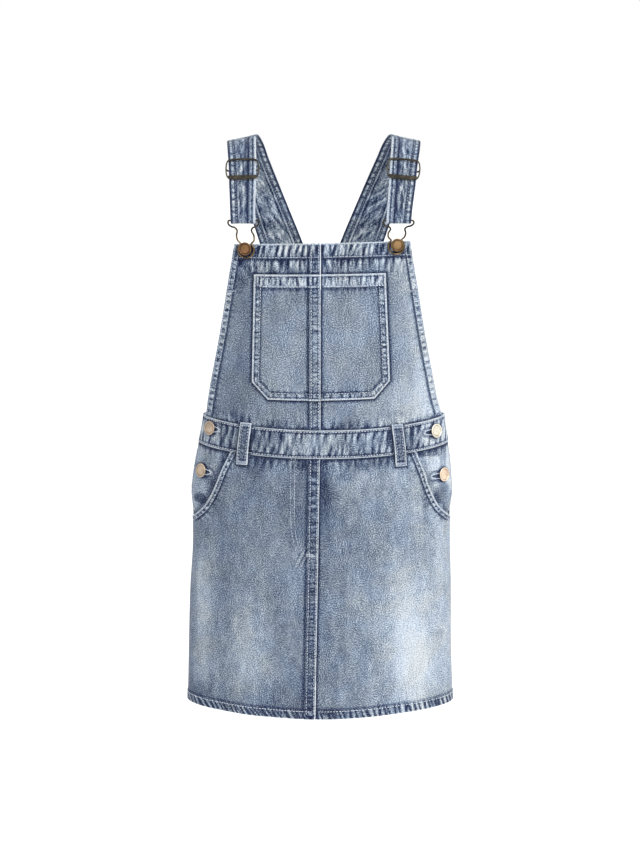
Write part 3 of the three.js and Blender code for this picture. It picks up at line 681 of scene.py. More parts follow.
def turn_at(x, z):
    """The angle at which the front of the body reaches a given x."""
    square = square_at(z)
    wanted = (x - lean_at(z)) / half_at(z)
    turn = np.arcsin(np.clip(wanted, -0.97, 0.97))
    for again in range(8):
        gap = (np.sin(turn) - square * np.sin(3 * turn)) / (1 + square) - wanted
        turn = turn - gap * (1 + square) / (np.cos(turn) - 3 * square * np.cos(3 * turn))
    return turn


def lap_edge(side, z):
    return lap_x(z) + (GAP if side > 0 else 0.0)


def lap_turn(side, z):
    return turn_at(lap_edge(side, z), z)


def dense_line(line, count):
    """The same line drawn with more points."""
    spots = np.linspace(0, len(line) - 1, count)
    return np.stack([np.interp(spots, range(len(line)), line[:, k]) for k in (0, 1)], -1)


def beside(s, z, path):
    """How far points lie from a line drawn on the flat cloth, and how far along it."""
    start, step = path[:-1], np.diff(path, axis=0)
    length = np.linalg.norm(step, axis=1)
    run = run_along(path)[:-1]
    spot = points_from(np.ravel(s), np.ravel(z))[:, None]
    t = np.clip(((spot - start) * step).sum(-1) / length ** 2, 0, 1)
    gap = np.linalg.norm(spot - start - t[..., None] * step, axis=-1)
    best = gap.argmin(1)
    pick = np.arange(len(best))
    return gap[pick, best].reshape(np.shape(s)), (run + t * length)[pick, best].reshape(np.shape(s))


edge_z = np.concatenate([np.linspace(SCOOP_TOP + 4, SCOOP[0][0], 60), np.linspace(-425, -640, 12)])
edge_path = points_from(round_mm(scoop_turn(edge_z), edge_z), edge_z)


def lap_creases(side, d):
    return -0.6 * (side < 0) * ease((LAP_WIDTH - d) / 1.5)


def lap_strip(tone, d, along, seed, bold=0.0):
    """The lapped strip down the front: ladder puckers between its two rows of stitching."""
    ladder = gathers(along, d, seed, 5.0, 0.12)
    patches = gathers(along, d, seed + 4, 11.0)
    between = within(d, 2.4, LAP_WIDTH - 3.4, 1.0, 1.0)
    inside = ease((LAP_WIDTH + 0.2 - d) / 0.4)
    sink = 0.42 * (1 - ladder) * between + 0.25 * hump(d - 2.1, 0.6) + 0.25 * hump(d - 9.4, 0.6)
    wear = 0.50 * (ladder - 0.5) * between + bold * (0.5 * (patches - 0.5) - 0.20) - 0.10
    tone = tone + inside * wear
    tone = mix(tone, 0.74, 0.5 * hump(d - 10.9, 0.8))
    # The dark line just past the strip's inner side is painted shadow of its step, and the white line at the
    # lapped edge is wear with a painted highlight.
    tone = indigo_and_shadow_lines(tone, (d - 2.3, 0.7, 0.75), (d - 9.2, 0.7, 0.7), (d - LAP_WIDTH - 1.2, 1.4, 0.85))
    return sink * inside, worn_and_highlight_line(tone, d, 0.85, 1.0, 1.0)


def painted_loop_shadow(tone, x, z):
    """Painted shadow round a belt loop's edge, where the loop stands off the cloth."""
    z = z + RIGHT_DROP * (x > 0)
    middle = mix(LOOP_TOP[0], LOOP_END[0], (LOOP_TOP[1] - z) / (LOOP_TOP[1] - LOOP_END[1]))
    outside = np.abs(np.abs(x) - middle) - LOOP_WIDTH / 2
    outside = np.maximum(outside, np.maximum(z - LOOP_TOP[1], LOOP_END[1] - z))
    return indigo_and_shadow_line(tone, np.maximum(outside, 0), 2.4, 0.9)


SLIT_LONG = {-1: 7.5, 1: 10.5}
SLIT_DROP = 0.8
BOUND = {"pitch": 1.1, "long": 0.9, "thick": 0.8, "tone": 0.85}


def buttonhole(tone, x, z, spot):
    """A slit that runs inwards from under a button, with a pale bound edge."""
    inward = -math.copysign(1.0, spot[0])
    long = SLIT_LONG[-int(inward)]
    reach = np.clip((x - spot[0]) * inward, 0, long)
    off = np.hypot(x - spot[0] - reach * inward, z - spot[1] + SLIT_DROP)
    spread_out = 1.6 * (1 - reach / long)
    tone = indigo_and_shadow_line(tone, off - 4.4 - spread_out, 1.0, 0.8)
    tone = mix(tone, 0.92, 0.9 * hump(off - 2.6 - spread_out, 1.2))
    tone = indigo_and_shadow_line(tone, off, 1.5 + spread_out, 0.9)
    # Painted shadow of the button on the cloth round it.
    from_button = np.hypot((x - spot[0] - 1.1 * inward) / 0.78, z - spot[1])
    return indigo_and_shadow_line(tone, np.maximum(from_button - 7.2, 0), 1.6, 0.95)


def binding(spot):
    """The loop of stitches round a buttonhole, out from the button and back, as x and z."""
    inward = -math.copysign(1.0, spot[0])
    bend = np.linspace(-math.pi / 2, math.pi / 2, 15)
    along = np.concatenate([[3.0], SLIT_LONG[-int(inward)] + 2.0 * np.cos(bend), [3.0]])
    up = 2.0 * np.concatenate([[-1.7], np.sin(bend), [1.7]])
    return points_from(spot[0] + inward * along, spot[1] - SLIT_DROP + up)


def paler_right_worn_and_lit(x):
    """How much paler the dress is towards its right side: partly worn paler, and partly painted light as if
    lit from the right.
    """
    return 0.05 * ease((x + 20) / 70) + 0.09 * ease((x - 70) / 40)


def front_cloth(side, turn, z):
    """Height of the outer face, shift of both faces, and wear of a skirt front."""
    s = round_mm(turn, z)
    x = body_point(turn, z)[..., 0]
    d_lap = np.abs(s - round_mm(lap_turn(side, z), z))
    d_side, along = beside(np.abs(s), z, edge_path)
    d_top = band_bottom(turn) - GAP - z
    d_hem = z - hem_at(turn)
    d_edge = nearest(d_side, d_top, d_hem, d_lap)
    ripples = gathers(s, d_top, 11 + side, 8.6, 0.12)
    near_band = past(d_top, 0, 2.0, 10.0)
    sink, rope_tone = hem_relief(s, d_hem, 21 + side, 0.75 - 0.45 * (side > 0))
    shift = -0.65 * (1 - ripples) * near_band
    scooped = ease((z + 424) / 4)
    pucker = gathers(along, d_side, 31 + side, 6.4, 0.3)
    in_band = within(d_side, 1.0, SCOOP_BAND, 1.2, 1.2) * scooped
    past_band = past(d_side, SCOOP_BAND, 1.0, 6.0) * scooped
    sink = sink + 0.45 * (1 - pucker) * in_band
    shift = shift - 0.3 * (1 - pucker) * past_band
    calm = ease(d_side / 28) * ease(d_top / 40) * ease((d_lap - 8) / 22)
    waves = cloud(s / 44 + 3, z / 160, 51) + 0.9 * cloud(s / 27, z / 120, 52) * ease((-450 - z) / 150)
    shift = shift + calm * waves
    tone = 0.47 + 0.05 * cloud(s / 36, z / 62, 53) + 0.06 * cloud(s / 8, z / 24, 54) + paler_right_worn_and_lit(x)
    tone = tone + 0.07 * cloud(s / 3.4, z / 6.5, 55)
    if side < 0:
        tone = tone + 0.22 * patch(x, z, -84, 27, -565, 70)
        tone = tone + 0.26 * hump(x + 132, 11) * ease((-420 - z) / 60) * ease((z + 618) / 30)
        tone = tone - 0.04 * hump(x + 108, 8) - 0.10 * ease((-585 - z) / 40)
        tone = tone - 0.10 * hump(x + 26, 12) * ease((z + 450) / 30)
    else:
        # Partly fade and partly painted light: the bright right thigh patches and the paler right edge stand
        # in for light falling from the right as well as washing.
        streak = 92 + 0.11 * np.clip(-490 - z, -40, 110)
        tone = tone + 0.36 * patch(x, z, streak, 21, -556, 76)
        tone = tone + 0.10 * patch(x, z, 84, 44, -575, 80) + 0.06 * ease((x - 120) / 20)
        tone = tone - 0.42 * patch(x, z, 3, 8, -378, 30) - 0.10 * ease((-612 - z) / 12)
        tone = tone + 0.05 * ease((x - 30) / 60) + 0.10 * patch(x, z, 60, 45, -365, 24)
    under = fading(d_top, 3, 17)
    blots = ease(cloud(s / 15, z / 11, 55 + side) * 1.9 + 0.35)
    tone = tone + 0.56 * (ripples - 0.5) * near_band - 0.34 * under * blots
    scoop_blots = ease(cloud(s / 12, z / 12, 57 + side) * 1.8 + 0.1) * scooped * hump(z + 412, 26)
    tone = tone - 0.34 * scoop_blots * fading(d_side, SCOOP_BAND, 12)
    tone = tone + rope_tone
    tone = mix(tone, 0.56 + 1.0 * (pucker - 0.55), 0.9 * in_band)
    tone = tone + scooped * 0.60 * (pucker - 0.5) * past_band
    tone = indigo_and_shadow_lines(tone, (d_side - 2.6, 0.7, 0.75 * scooped),
                      (d_side - SCOOP_BAND - 1.0, 1.2, 0.9 * scooped))
    tone = tone + (1 - scooped) * 0.08 * hump(d_side, 3.5)
    # Dark line under the waistband: indigo kept in the seam, and painted shadow under the band's edge.
    tone = indigo_and_shadow_line(tone, d_top - 0.4, 2.4, 1.0)
    lap = 0.0
    if side < 0:
        lap = LAP_RISE * folded(d_lap, LAP_WIDTH)
        strip_sink, tone = lap_strip(tone, d_lap, z, 61, ease((z + 455) / 25))
        low_strip = ease((LAP_WIDTH - d_lap) / 1.0) * ease((d_lap - 1.2) / 0.8) * ease((-z - 455) / 30)
        tone = tone - 0.12 * low_strip
        sink = sink + strip_sink * ease((d_hem - 9) / 3)
    else:
        # Painted shadow beside the edge of the lapped strip that lies over this half.
        tone = indigo_and_shadow_line(tone, d_lap, 2.2, 1.0)
    tone = worn_and_highlight_line(tone, d_side - 0.1, 1.2, 1.0, 1.0 * scooped)
    tone = worn_and_highlight_line(tone, d_hem, 0.9, 0.95, 0.5)
    fold = HEM_RISE * folded(d_hem, HEM_FOLD)
    raised = 0.8 * HEM_RISE * folded(d_side, SCOOP_BAND) * scooped
    out = np.maximum(np.maximum(lap, fold), raised) - sink
    out = out - rounded(d_edge, 0.5 + 0.3 * (side < 0) * (d_lap < 2))
    tone = painted_loop_shadow(tone, x, z)
    if side < 0:
        near_tack = patch(x, z, -21, 8, -452, 12)
        creases = gathers(x - 0.5 * z, 0 * x, 67, 5.5)
        tone = tone + 0.6 * (creases - 0.5) * near_tack
    return out, shift, tone, near_band - 0.8 * in_band - 0.5 * past_band + lap_creases(side, d_lap)


def front_place(side):
    def place(s, z, lift):
        turn = turn_of(s, z)
        out, shift = front_cloth(side, turn, z)[:2]
        return skin(turn, z, out + shift + lift)
    return place


lap_stations = [*EDGE, 2.1, 2.9, 4.0, 5.2, 6.4, 7.6, 8.6, 9.4, 10.2, 11.1, 11.7, 12.3, 13.1, 14.2]
side_stations = [*EDGE[:4], 1.6, 2.5, 3.5, 4.5, 5.3, 5.8, 6.3, 7.1, 8.2]
for side, end in SIDES:
    fine_z = np.linspace(SCOOP_TOP, SCOOP[0][0], 600)
    fine_s = round_mm(scoop_turn(fine_z), fine_z)
    run = run_along(points_from(fine_s, fine_z))
    scoop_z = np.interp(np.arange(1.0, run[-1], GRID), run, fine_z)
    low_z = hem_at(SIDE)
    side_z = low_z + spread(SCOOP[0][0] - low_z, hem_rows, [0.0], GRID)[::-1]
    edge_heights = np.concatenate([scoop_z, side_z])
    edge_turns = np.concatenate([[scoop_turn(SCOOP_TOP)] * len(EDGE), scoop_turn(edge_heights)])
    row_top = band_bottom(edge_turns) - GAP
    row_hem = hem_at(edge_turns)
    share = np.concatenate([EDGE, row_top[len(EDGE):] - edge_heights]) / (row_top - row_hem)
    order = np.argsort(share, kind="stable")
    share, edge_turns = share[order], edge_turns[order]
    middle_z = mix(band_bottom(0.0) - GAP, hem_at(0.0), share)
    first = lap_turn(side, middle_z)
    last = side * edge_turns
    edge_z_here = mix(band_bottom(last) - GAP, hem_at(last), share)
    by_lap = np.array(lap_stations)[None, :] / per_radian(first, middle_z)[:, None]
    by_side = np.array(side_stations)[::-1][None, :] / per_radian(last, edge_z_here)[:, None]
    from_lap, from_side = first[:, None] + side * by_lap, last[:, None] - side * by_side
    inside = np.linspace(0, 1, MIDDLE_COLUMNS + 2)[1:-1]
    between = mix(from_lap[:, -1:], from_side[:, :1], inside[None, :])
    turn = np.concatenate([from_lap, between, from_side], axis=1)
    z = mix(band_bottom(turn) - GAP, hem_at(turn), share[:, None])
    out, shift, tone, pucker = front_cloth(side, turn, z)
    d_edge = np.minimum(beside(np.abs(round_mm(turn, z)), z, edge_path)[0], z - hem_at(turn))
    d_edge = np.minimum(d_edge, np.abs(turn - first[:, None]) * per_radian(first, middle_z)[:, None])
    inner = skin(turn, z, shift - CLOTH + rounded(d_edge, SOFT_EDGE))
    skirt = panel(f"front_skirt_{end}_denim", skin(turn, z, out + shift), inner, tone, round_mm(turn, z), z,
                  denim_cloth, pucker)
    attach(skirt, "root")
    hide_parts(f"front_skirt_{end}")

    thread = Stitching(f"front_skirt_{end}_stitching")
    place = front_place(side)
    sweep = np.linspace(lap_turn(side, -620.0) + side * 0.02, side * (SIDE - 0.02), 100)
    hem_line = points_from(round_mm(sweep, hem_at(sweep)), hem_at(sweep) + HEM_ROW)
    thread.sew(place, hem_line, tone=0.85)
    for inset in (2.0, 5.6):
        offset = edge_path[:60].copy()
        normal = np.gradient(offset, axis=0)
        normal = points_from(normal[:, 1], -normal[:, 0]) / np.linalg.norm(normal, axis=1, keepdims=True)
        offset = offset + normal * inset
        offset[:, 0] *= side
        thread.sew(place, offset[2:], tone=0.5)
    if side < 0:
        down = np.linspace(-345.0, -628.0, 120)
        line_s = round_mm(lap_turn(side, down), down)
        for inset in LAP_ROWS:
            thread.sew(place, points_from(line_s - inset, down), tone=0.58)
        for nearer in (0.0, 4.2):
            thread.sew(place, dense_line(FLY[:, :2] + nearer * FLY[:, 2:], 60), tone=0.42)
        for drop in (0.0, 1.0, 2.0):
            tack = points_from(np.linspace(-17.5, -7.5, 10), FLY_TACK - drop)
            thread.sew(place, tack, pitch=1.7, long=1.5, tone=0.9 - 0.5 * (drop == 1.0))
    thread.finish()


# Pocket backs: the denim that fills each scoop and runs on under the skirt front, where it makes
# the back of the hand pocket. Its outer edge is the side opening that the buttons close.
POCKET_BOTTOM = -440.0
UNDER_FRONT = 2.4
HIP_BUTTON = {-1: (-131.4, -364.8), 1: (133.8, -369.2)}


def pocket_back_cloth(side, turn, z):
    """Height of the outer face and wear of a pocket back."""
    turn = np.abs(turn)
    beyond = (turn - scoop_turn(z - 3.0)) * per_radian(turn, z)
    under = -UNDER_FRONT * (1 - ease((beyond - 7.0) / 10.0))
    s = round_mm(turn, z)
    d_side = round_mm(np.full_like(s, SIDE), z) - s
    d_top = band_bottom(turn) - GAP - z
    ripples = gathers(s, d_top, 71 + side, 7.5)
    near_band = past(d_top, 0, 2.0, 9.0)
    pucker = gathers(z, d_side, 73 + side, 6.8)
    hem = within(d_side, 0.8, 7.5, 1.2, 1.2)
    out = under - 0.3 * (1 - ripples) * near_band - 0.35 * (1 - pucker) * hem
    out = out - rounded(np.minimum(d_side, d_top), SOFT_EDGE)
    tone = 0.51 + 0.40 * (side > 0) + 0.10 * cloud(s / 14, z / 20, 75 + side)
    tone = tone + 0.48 * (ripples - 0.55) * near_band
    blots = ease(cloud(s / 11, z / 8, 77 + side) * 3.0 + 0.1) * fading(d_top, 0, 26)
    tone = tone - (0.40 + 0.20 * (side > 0)) * blots
    tone = tone + 0.95 * (pucker - 0.5) * hem + 0.12 * hump(d_side - 12, 9)
    tone = tone - 0.44 * ease(cloud(s / 9, z / 11, 79 + side) * 2.8) * ease((-z - 372) / 14)
    # Painted shade along the scoop, where the pocket back runs in under the skirt front's edge.
    tone = tone - 0.30 * ease((11 - beyond) / 8)
    x = body_point(turn * side, z)[..., 0]
    tone = tone + 0.14 * ease((-x - 124) / 8)
    tone = buttonhole(tone, x, z, HIP_BUTTON[side])
    # The dark line under the waistband is seam indigo with painted shadow under the band's edge.
    tone = indigo_and_shadow_lines(tone, (d_side - 8.6, 0.8, 0.5), (d_top - 0.4, 2.4, 1.0))
    tone = worn_and_highlight_line(tone, d_side, 1.0, 0.9, 0.7)
    return out, tone, near_band - 0.8 * hem


def pocket_back_place(side):
    def place(s, z, lift):
        turn = turn_of(s, z)
        return skin(turn, z, pocket_back_cloth(side, turn, z)[0] + lift)
    return place


for side, end in SIDES:
    top_z = float(band_bottom(scoop_turn(SCOOP_TOP)) - GAP)
    down = spread(top_z - POCKET_BOTTOM, EDGE, EDGE, GRID)
    height = top_z - down
    start = np.radians(44.0 + down * 0.14)
    length = round_mm(np.full_like(height, SIDE), height) - round_mm(start, height)
    across = spread(float(length.mean()), EDGE, [0, 0.15, 0.45, 0.9, 1.5, 2.3, 3.4, 4.6, 5.8, 7, 8, 9], GRID)
    turn = mix(start[:, None], SIDE, (across / across[-1])[None, :])
    top = band_bottom(turn) - GAP
    z = mix(top, POCKET_BOTTOM, (down / down[-1])[:, None])
    turn = turn * side
    out, tone, pucker = pocket_back_cloth(side, turn, z)
    inner = skin(turn, z, out - CLOTH + 2 * rounded(rim_gap(down, across), SOFT_EDGE))
    pocket_back = panel(f"side_front_{end}_denim", skin(turn, z, out), inner, tone, round_mm(turn, z), z,
                        denim_cloth, pucker)
    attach(pocket_back, "root")
    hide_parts(f"side_front_{end}")
    thread = Stitching(f"side_front_{end}_stitching")
    line_z = np.linspace(-346.0, -414.0, 40)
    reach = round_mm(np.full_like(line_z, SIDE), line_z)
    for inset in (2.0, 7.8):
        thread.sew(pocket_back_place(side), points_from(side * (reach - inset), line_z), tone=0.55)

    def on_pocket_back(x, z, lift):
        turn = turn_at(x, z)
        return skin(turn, z, pocket_back_cloth(side, turn, z)[0] + lift)

    thread.sew(on_pocket_back, binding(HIP_BUTTON[side]), **BOUND)
    thread.finish()


# Waistband: a doubled strip of denim in a front and a back part that button together at the
# sides, topstitched along both edges, where washing has puckered it into worn diamonds.
BAND_OUT = 0.6
BAND_THICK = 2.4
WAIST_BUTTON = {-1: (-121.1, -317.6), 1: (124.4, -320.3)}
BAND_ROWS = 31.0
FRONT_SEED, BACK_SEED = 81, 91
denim_band = denim("puckered denim", 1.5, 0.0)


def band_top(turn):
    return -304.6 - 8.2 * front_dip(turn)


def band_cloth(turn, z, seed):
    """Height of the outer face and wear of the waistband."""
    around = np.where(turn > math.pi, turn - 2 * math.pi, turn)
    s = round_mm(around, z)
    d_top, d_bottom = band_top(turn) - z, z - band_bottom(turn)
    nearer = np.minimum(d_top, d_bottom)
    upper = gathers(s, d_top, seed, 8.8, 0.22)
    lower = gathers(s, d_bottom, seed + 3, 7.8, -0.2)
    share = ease((d_top - 9) / 12)
    ridges = mix(upper, lower, share)
    deep = ease((nearer - 0.6) / 2.2) * (0.55 + 0.45 * fading(nearer, 3, 6.0))
    out = BAND_OUT - 0.75 * (1 - ridges) * deep - 0.3 * hump(nearer - 2.2, 0.7)
    tone = 0.58 + 0.07 * cloud(s / 30, z / 20, seed + 5) + 1.35 * (np.minimum(ridges, 0.78) - 0.65) * deep
    tone = tone + 0.12 * cloud(s / 3.0, z / 16, seed + 6)
    tone = indigo_and_shadow_line(tone, nearer - 2.7, 1.3, 1.0)
    tone = worn_and_highlight_line(tone, nearer - 0.1, 0.9, 1.0, 1.0)
    return out, s, tone, 0.9 * deep


def band_panel(name, first, last, seed):
    middle_s = abs(float(round_mm(1.2, -320.0))) / 1.2
    length = (last - first) * middle_s
    ends = [*EDGE[:4], 1.6, 2.6]
    across = spread(length, ends, ends, 1.7) / length
    top_half = np.array([*EDGE, 2.2, 2.9, 3.8, 5.0, 6.3, 7.7, 9.2, 10.8, 12.4, 14.0])
    rows = np.concatenate([top_half, BAND_ROWS - top_half[::-1]]) / BAND_ROWS
    turn = mix(first, last, across)[None, :] + np.zeros((len(rows), 1))
    z = mix(band_top(turn), band_bottom(turn), rows[:, None])
    out, s, tone, pucker = band_cloth(turn, z, seed)
    d_end = np.minimum(across, 1 - across)[None, :] * length
    d_row = np.minimum(rows, 1 - rows)[:, None] * BAND_ROWS
    edge = rounded(np.minimum(d_end, d_row), 1.0)
    tone = worn_and_highlight_line(tone, d_end, 1.0, 0.9, 0.7)
    if seed == FRONT_SEED:
        x = body_point(turn, z)[..., 0]
        tone = mix(tone, 0.70, 0.6 * hump(x + 12, 24) * ease(d_row / 3 - 1)) - 0.05 * ease((x - 60) / 30)
        tone = painted_loop_shadow(tone - 0.14 * ease((-x - 40) / 30), x, z)
        tone = tone + 0.30 * ease((x - 102) / 12) + 0.22 * ease((-x - 108) / 8)
        for spot in WAIST_BUTTON.values():
            tone = buttonhole(tone, x, z, spot)
    band = panel(name, skin(turn, z, out - edge), skin(turn, z, out * 0 + BAND_OUT - BAND_THICK + edge),
                 tone, s, z, denim_band, pucker)
    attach(band, "root")
    return band


def band_place(seed):
    def place(turn, z, lift):
        return skin(turn, z, band_cloth(turn, z, seed)[0] + lift)
    return place


band_edge = float(SIDE + GAP / per_radian(SIDE, -304.6))
front_band = band_panel("waistband_front_denim", -SIDE, SIDE, FRONT_SEED)
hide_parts("waistband_front")
back_band = band_panel("waistband_back_denim", band_edge, 2 * math.pi - band_edge, BACK_SEED)
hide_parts("waistband_back")
band_thread = Stitching("waistband_stitching")
for first, last, seed in ((-SIDE, SIDE, FRONT_SEED), (band_edge, 2 * math.pi - band_edge, BACK_SEED)):
    sweep = np.linspace(first + 0.02, last - 0.02, 200)
    sew_round(band_thread, band_place(seed), sweep, band_top(sweep) - 2.2, tone=0.72)
    sew_round(band_thread, band_place(seed), sweep, band_bottom(sweep) + 2.2, tone=0.72)
for spot in WAIST_BUTTON.values():
    band_thread.sew(lambda x, z, lift: band_place(FRONT_SEED)(turn_at(x, z), z, lift), binding(spot), **BOUND)
band_thread.finish()


# Bib: two denim halves joined down the centre front like the skirt, with a deep puckered hem
# along the top and narrow stitched hems at the sides, sewn to the waistband at the bottom.
BIB_TOP = -111.2
BIB_TILT = 0.0185
BIB_HEM = 16.0
BIB_BUTTON = {-1: (-79.9, -117.4), 1: (79.0, -113.4)}
BIB_SIDE_HEM = 7.0
BIB_GRID = 1.3
BIB_EDGE = [
    # height, half width, lean to the right
    (-316, 133.4, 2.6), (-310, 131.6, 2.6), (-301, 128.6, 2.4), (-286, 125.2, 1.3), (-267, 121.5, 0.9),
    (-230, 114.1, 0.9), (-195, 107.6, 0.9), (-160, 101.8, 0.9), (-110, 93.1, 0.9),
]
bib_half, bib_lean = smooth_line(BIB_EDGE, 1), smooth_line(BIB_EDGE, 2)
POCKET_TOP, POCKET_CUT, POCKET_END = -144.0, -260.7, -279.6
POCKET_TILT, TOP_LEAN, END_LEAN = 0.0115, -1.9, -0.5


def bib_edge(side, z):
    return bib_half(z) + side * bib_lean(z)


def pocket_half(side, level):
    """Half width of the bib pocket at a level below its mouth, measured before it is turned."""
    half = np.interp(-level, [-POCKET_TOP, -POCKET_CUT, -POCKET_END], [69.5, 73.8, 57.0])
    return half + side * mix(TOP_LEAN, END_LEAN, (POCKET_TOP - level) / (POCKET_TOP - POCKET_END))


def pocket_line(side):
    """The sewn outline of half the bib pocket, from its mouth to past the centre front."""
    level = np.array([POCKET_TOP, POCKET_CUT, POCKET_END, POCKET_END])
    half = np.append(pocket_half(side, level[:3]), -9.0)
    return points_from(half, level + POCKET_TILT * side * half)


def bib_cloth(side, x, z):
    """Height of the outer face, shift of both faces, and wear of half the bib."""
    d_lap = np.abs(x - lap_x(z))
    d_side = bib_edge(side, z) - np.abs(x)
    d_top = BIB_TOP + BIB_TILT * x - z
    d_bottom = z - band_top(turn_at(x, z)) - GAP
    d_edge = nearest(d_side, d_top, d_bottom, d_lap)
    off_pocket = beside(side * x, z, pocket_line(side))[0]
    level = z - POCKET_TILT * x
    covered = (level < POCKET_TOP) & (level > POCKET_END) & (np.abs(x) < pocket_half(side, level))
    clear = np.where(covered, 0.0, ease(off_pocket / 3.0))
    calm = clear * ease(d_side / 20) * ease(d_bottom / 30) * ease(d_top / 30)

    top_ridges = gathers(x, d_top, 101 + side, 7.0, 0.28)
    in_hem = within(d_top, 1.0, BIB_HEM - 0.6, 1.5, 1.5)
    hem = HEM_RISE * folded(d_top, BIB_HEM)
    below = ease((d_top - BIB_HEM) / 1.5) * np.exp(-(np.maximum(d_top - BIB_HEM, 0) / 17.0) ** 2)
    soft_ridges = gathers(x, d_top - BIB_HEM, 104 + side, 8.2, 0.10)
    side_ridges = gathers(z, d_side, 107 + side, 7.2, 0.3)
    in_side = within(d_side, 0.8, BIB_SIDE_HEM, 1.2, 1.2) * ease((d_top - BIB_HEM) / 2)
    past_side = past(d_side, BIB_SIDE_HEM, 1.5, 7.0)
    foot_ridges = gathers(x, d_bottom, 110 + side, 8.4)
    near_foot = past(d_bottom, 0, 2, 9.0) * clear
    shift = -0.5 * (1 - soft_ridges) * below * clear - 0.3 * (1 - side_ridges) * past_side * clear
    shift = shift - 0.5 * (1 - foot_ridges) * near_foot + calm * 0.8 * cloud(x / 30, z / 70, 113)
    side_fold = HEM_RISE * folded(d_side, BIB_SIDE_HEM)
    tone = 0.47 + 0.05 * cloud(x / 34, z / 44, 114) + 0.06 * cloud(x / 8, z / 20, 115) + paler_right_worn_and_lit(x)
    # Darker towards the left half's edge and paler towards the right half's edge: partly wear, partly painted
    # light from the right.
    tone = tone - 0.05 * (side < 0) * ease((-x - 60) / 30) + 0.05 * (side > 0) * ease((x - 70) / 20)
    tone = tone + 0.07 * within(d_side, 2, 26, 4, 14) + 0.02 * (side > 0)
    tone = tone + (0.05 + 0.07 * ease((x - 20) / 40)) * ease((60 - d_bottom) / 30)
    tone = mix(tone, 0.36 + 1.3 * (top_ridges - 0.5), in_hem)
    tone = tone + (0.75 * (soft_ridges - 0.5) - 0.06) * below + 0.62 * (side_ridges - 0.44) * in_side
    side_blots = ease(cloud(x / 9, z / 13, 116) * 1.8 + 0.4) * ease((z + 170) / 25)
    tone = tone + 0.34 * (side_ridges - 0.5) * past_side - 0.30 * hump(d_side - 16, 8) * side_blots
    foot_blots = ease(cloud(x / 17, z / 9, 117) * 1.8 + 0.4)
    tone = tone + 0.44 * (foot_ridges - 0.55) * near_foot - 0.30 * foot_blots * fading(d_bottom, 2, 8)
    # The line just outside the bib pocket and the one above its mouth are painted shadow of the pocket's
    # edges.
    tone = indigo_and_shadow_lines(tone, (d_top - BIB_HEM - 0.9, 1.6, 0.95), (d_top - BIB_HEM + 2.0, 0.5, 0.4),
                      (d_side - BIB_SIDE_HEM - 0.8, 1.3, 0.75), (d_side - 1.9, 0.5, 0.35),
                      (d_bottom, 2.0, 0.95), (off_pocket - 0.8, 2.0, 1.0 * (level < POCKET_TOP + 3)),
                      (level - POCKET_TOP - 0.6, 1.6, 0.8 * (np.abs(x) < pocket_half(side, level) + 1.5)))
    lap, sink = 0.0, 0.0
    if side < 0:
        lap = LAP_RISE * folded(d_lap, LAP_WIDTH)
        sink, tone = lap_strip(tone, d_lap, z, 63)
        sink = sink * np.where(covered, 0.0, 1.0)
    else:
        # Painted shadow beside the edge of the lapped strip that lies over this half.
        tone = indigo_and_shadow_line(tone, d_lap - 0.8, 2.2, 1.0)
    button_x, button_z = BIB_BUTTON[side]
    # Painted shade on the cloth round the bib button.
    tone = tone - 0.34 * hump(np.hypot(x - button_x, z - button_z) - 7, 5)
    tone = worn_and_highlight_line(tone, d_top, 1.2, 0.98, 0.9)
    tone = worn_and_highlight_line(tone, d_side, 1.2, 0.92, 0.7)
    out = np.maximum(np.maximum(hem, side_fold), lap) - sink
    out = out - 0.62 * (1 - top_ridges) * in_hem - 0.4 * (1 - side_ridges) * in_side
    out = out - rounded(d_edge, 0.5 + 0.3 * (np.minimum(d_side, d_top) < 2))
    pucker = in_hem + 1.3 * below + near_foot - 0.9 * in_side
    return out, shift, tone, pucker + lap_creases(side, d_lap)


def bib_place(side):
    def place(x, z, lift):
        out, shift = bib_cloth(side, x, z)[:2]
        return skin(turn_at(x, z), z, out + shift + lift)
    return place


def laid_across(first, last, across, near, far):
    """Columns from one edge to the other: even beside both edges, stretched to fit in between."""
    start, stop = across[near - 1], across[-far]
    share = (across - start) / (stop - start)
    from_last = last - (across[-1] - across)
    between = mix(first + start, last - (across[-1] - stop), share)
    return np.where(share <= 0, first + across, np.where(share >= 1, from_last, between))


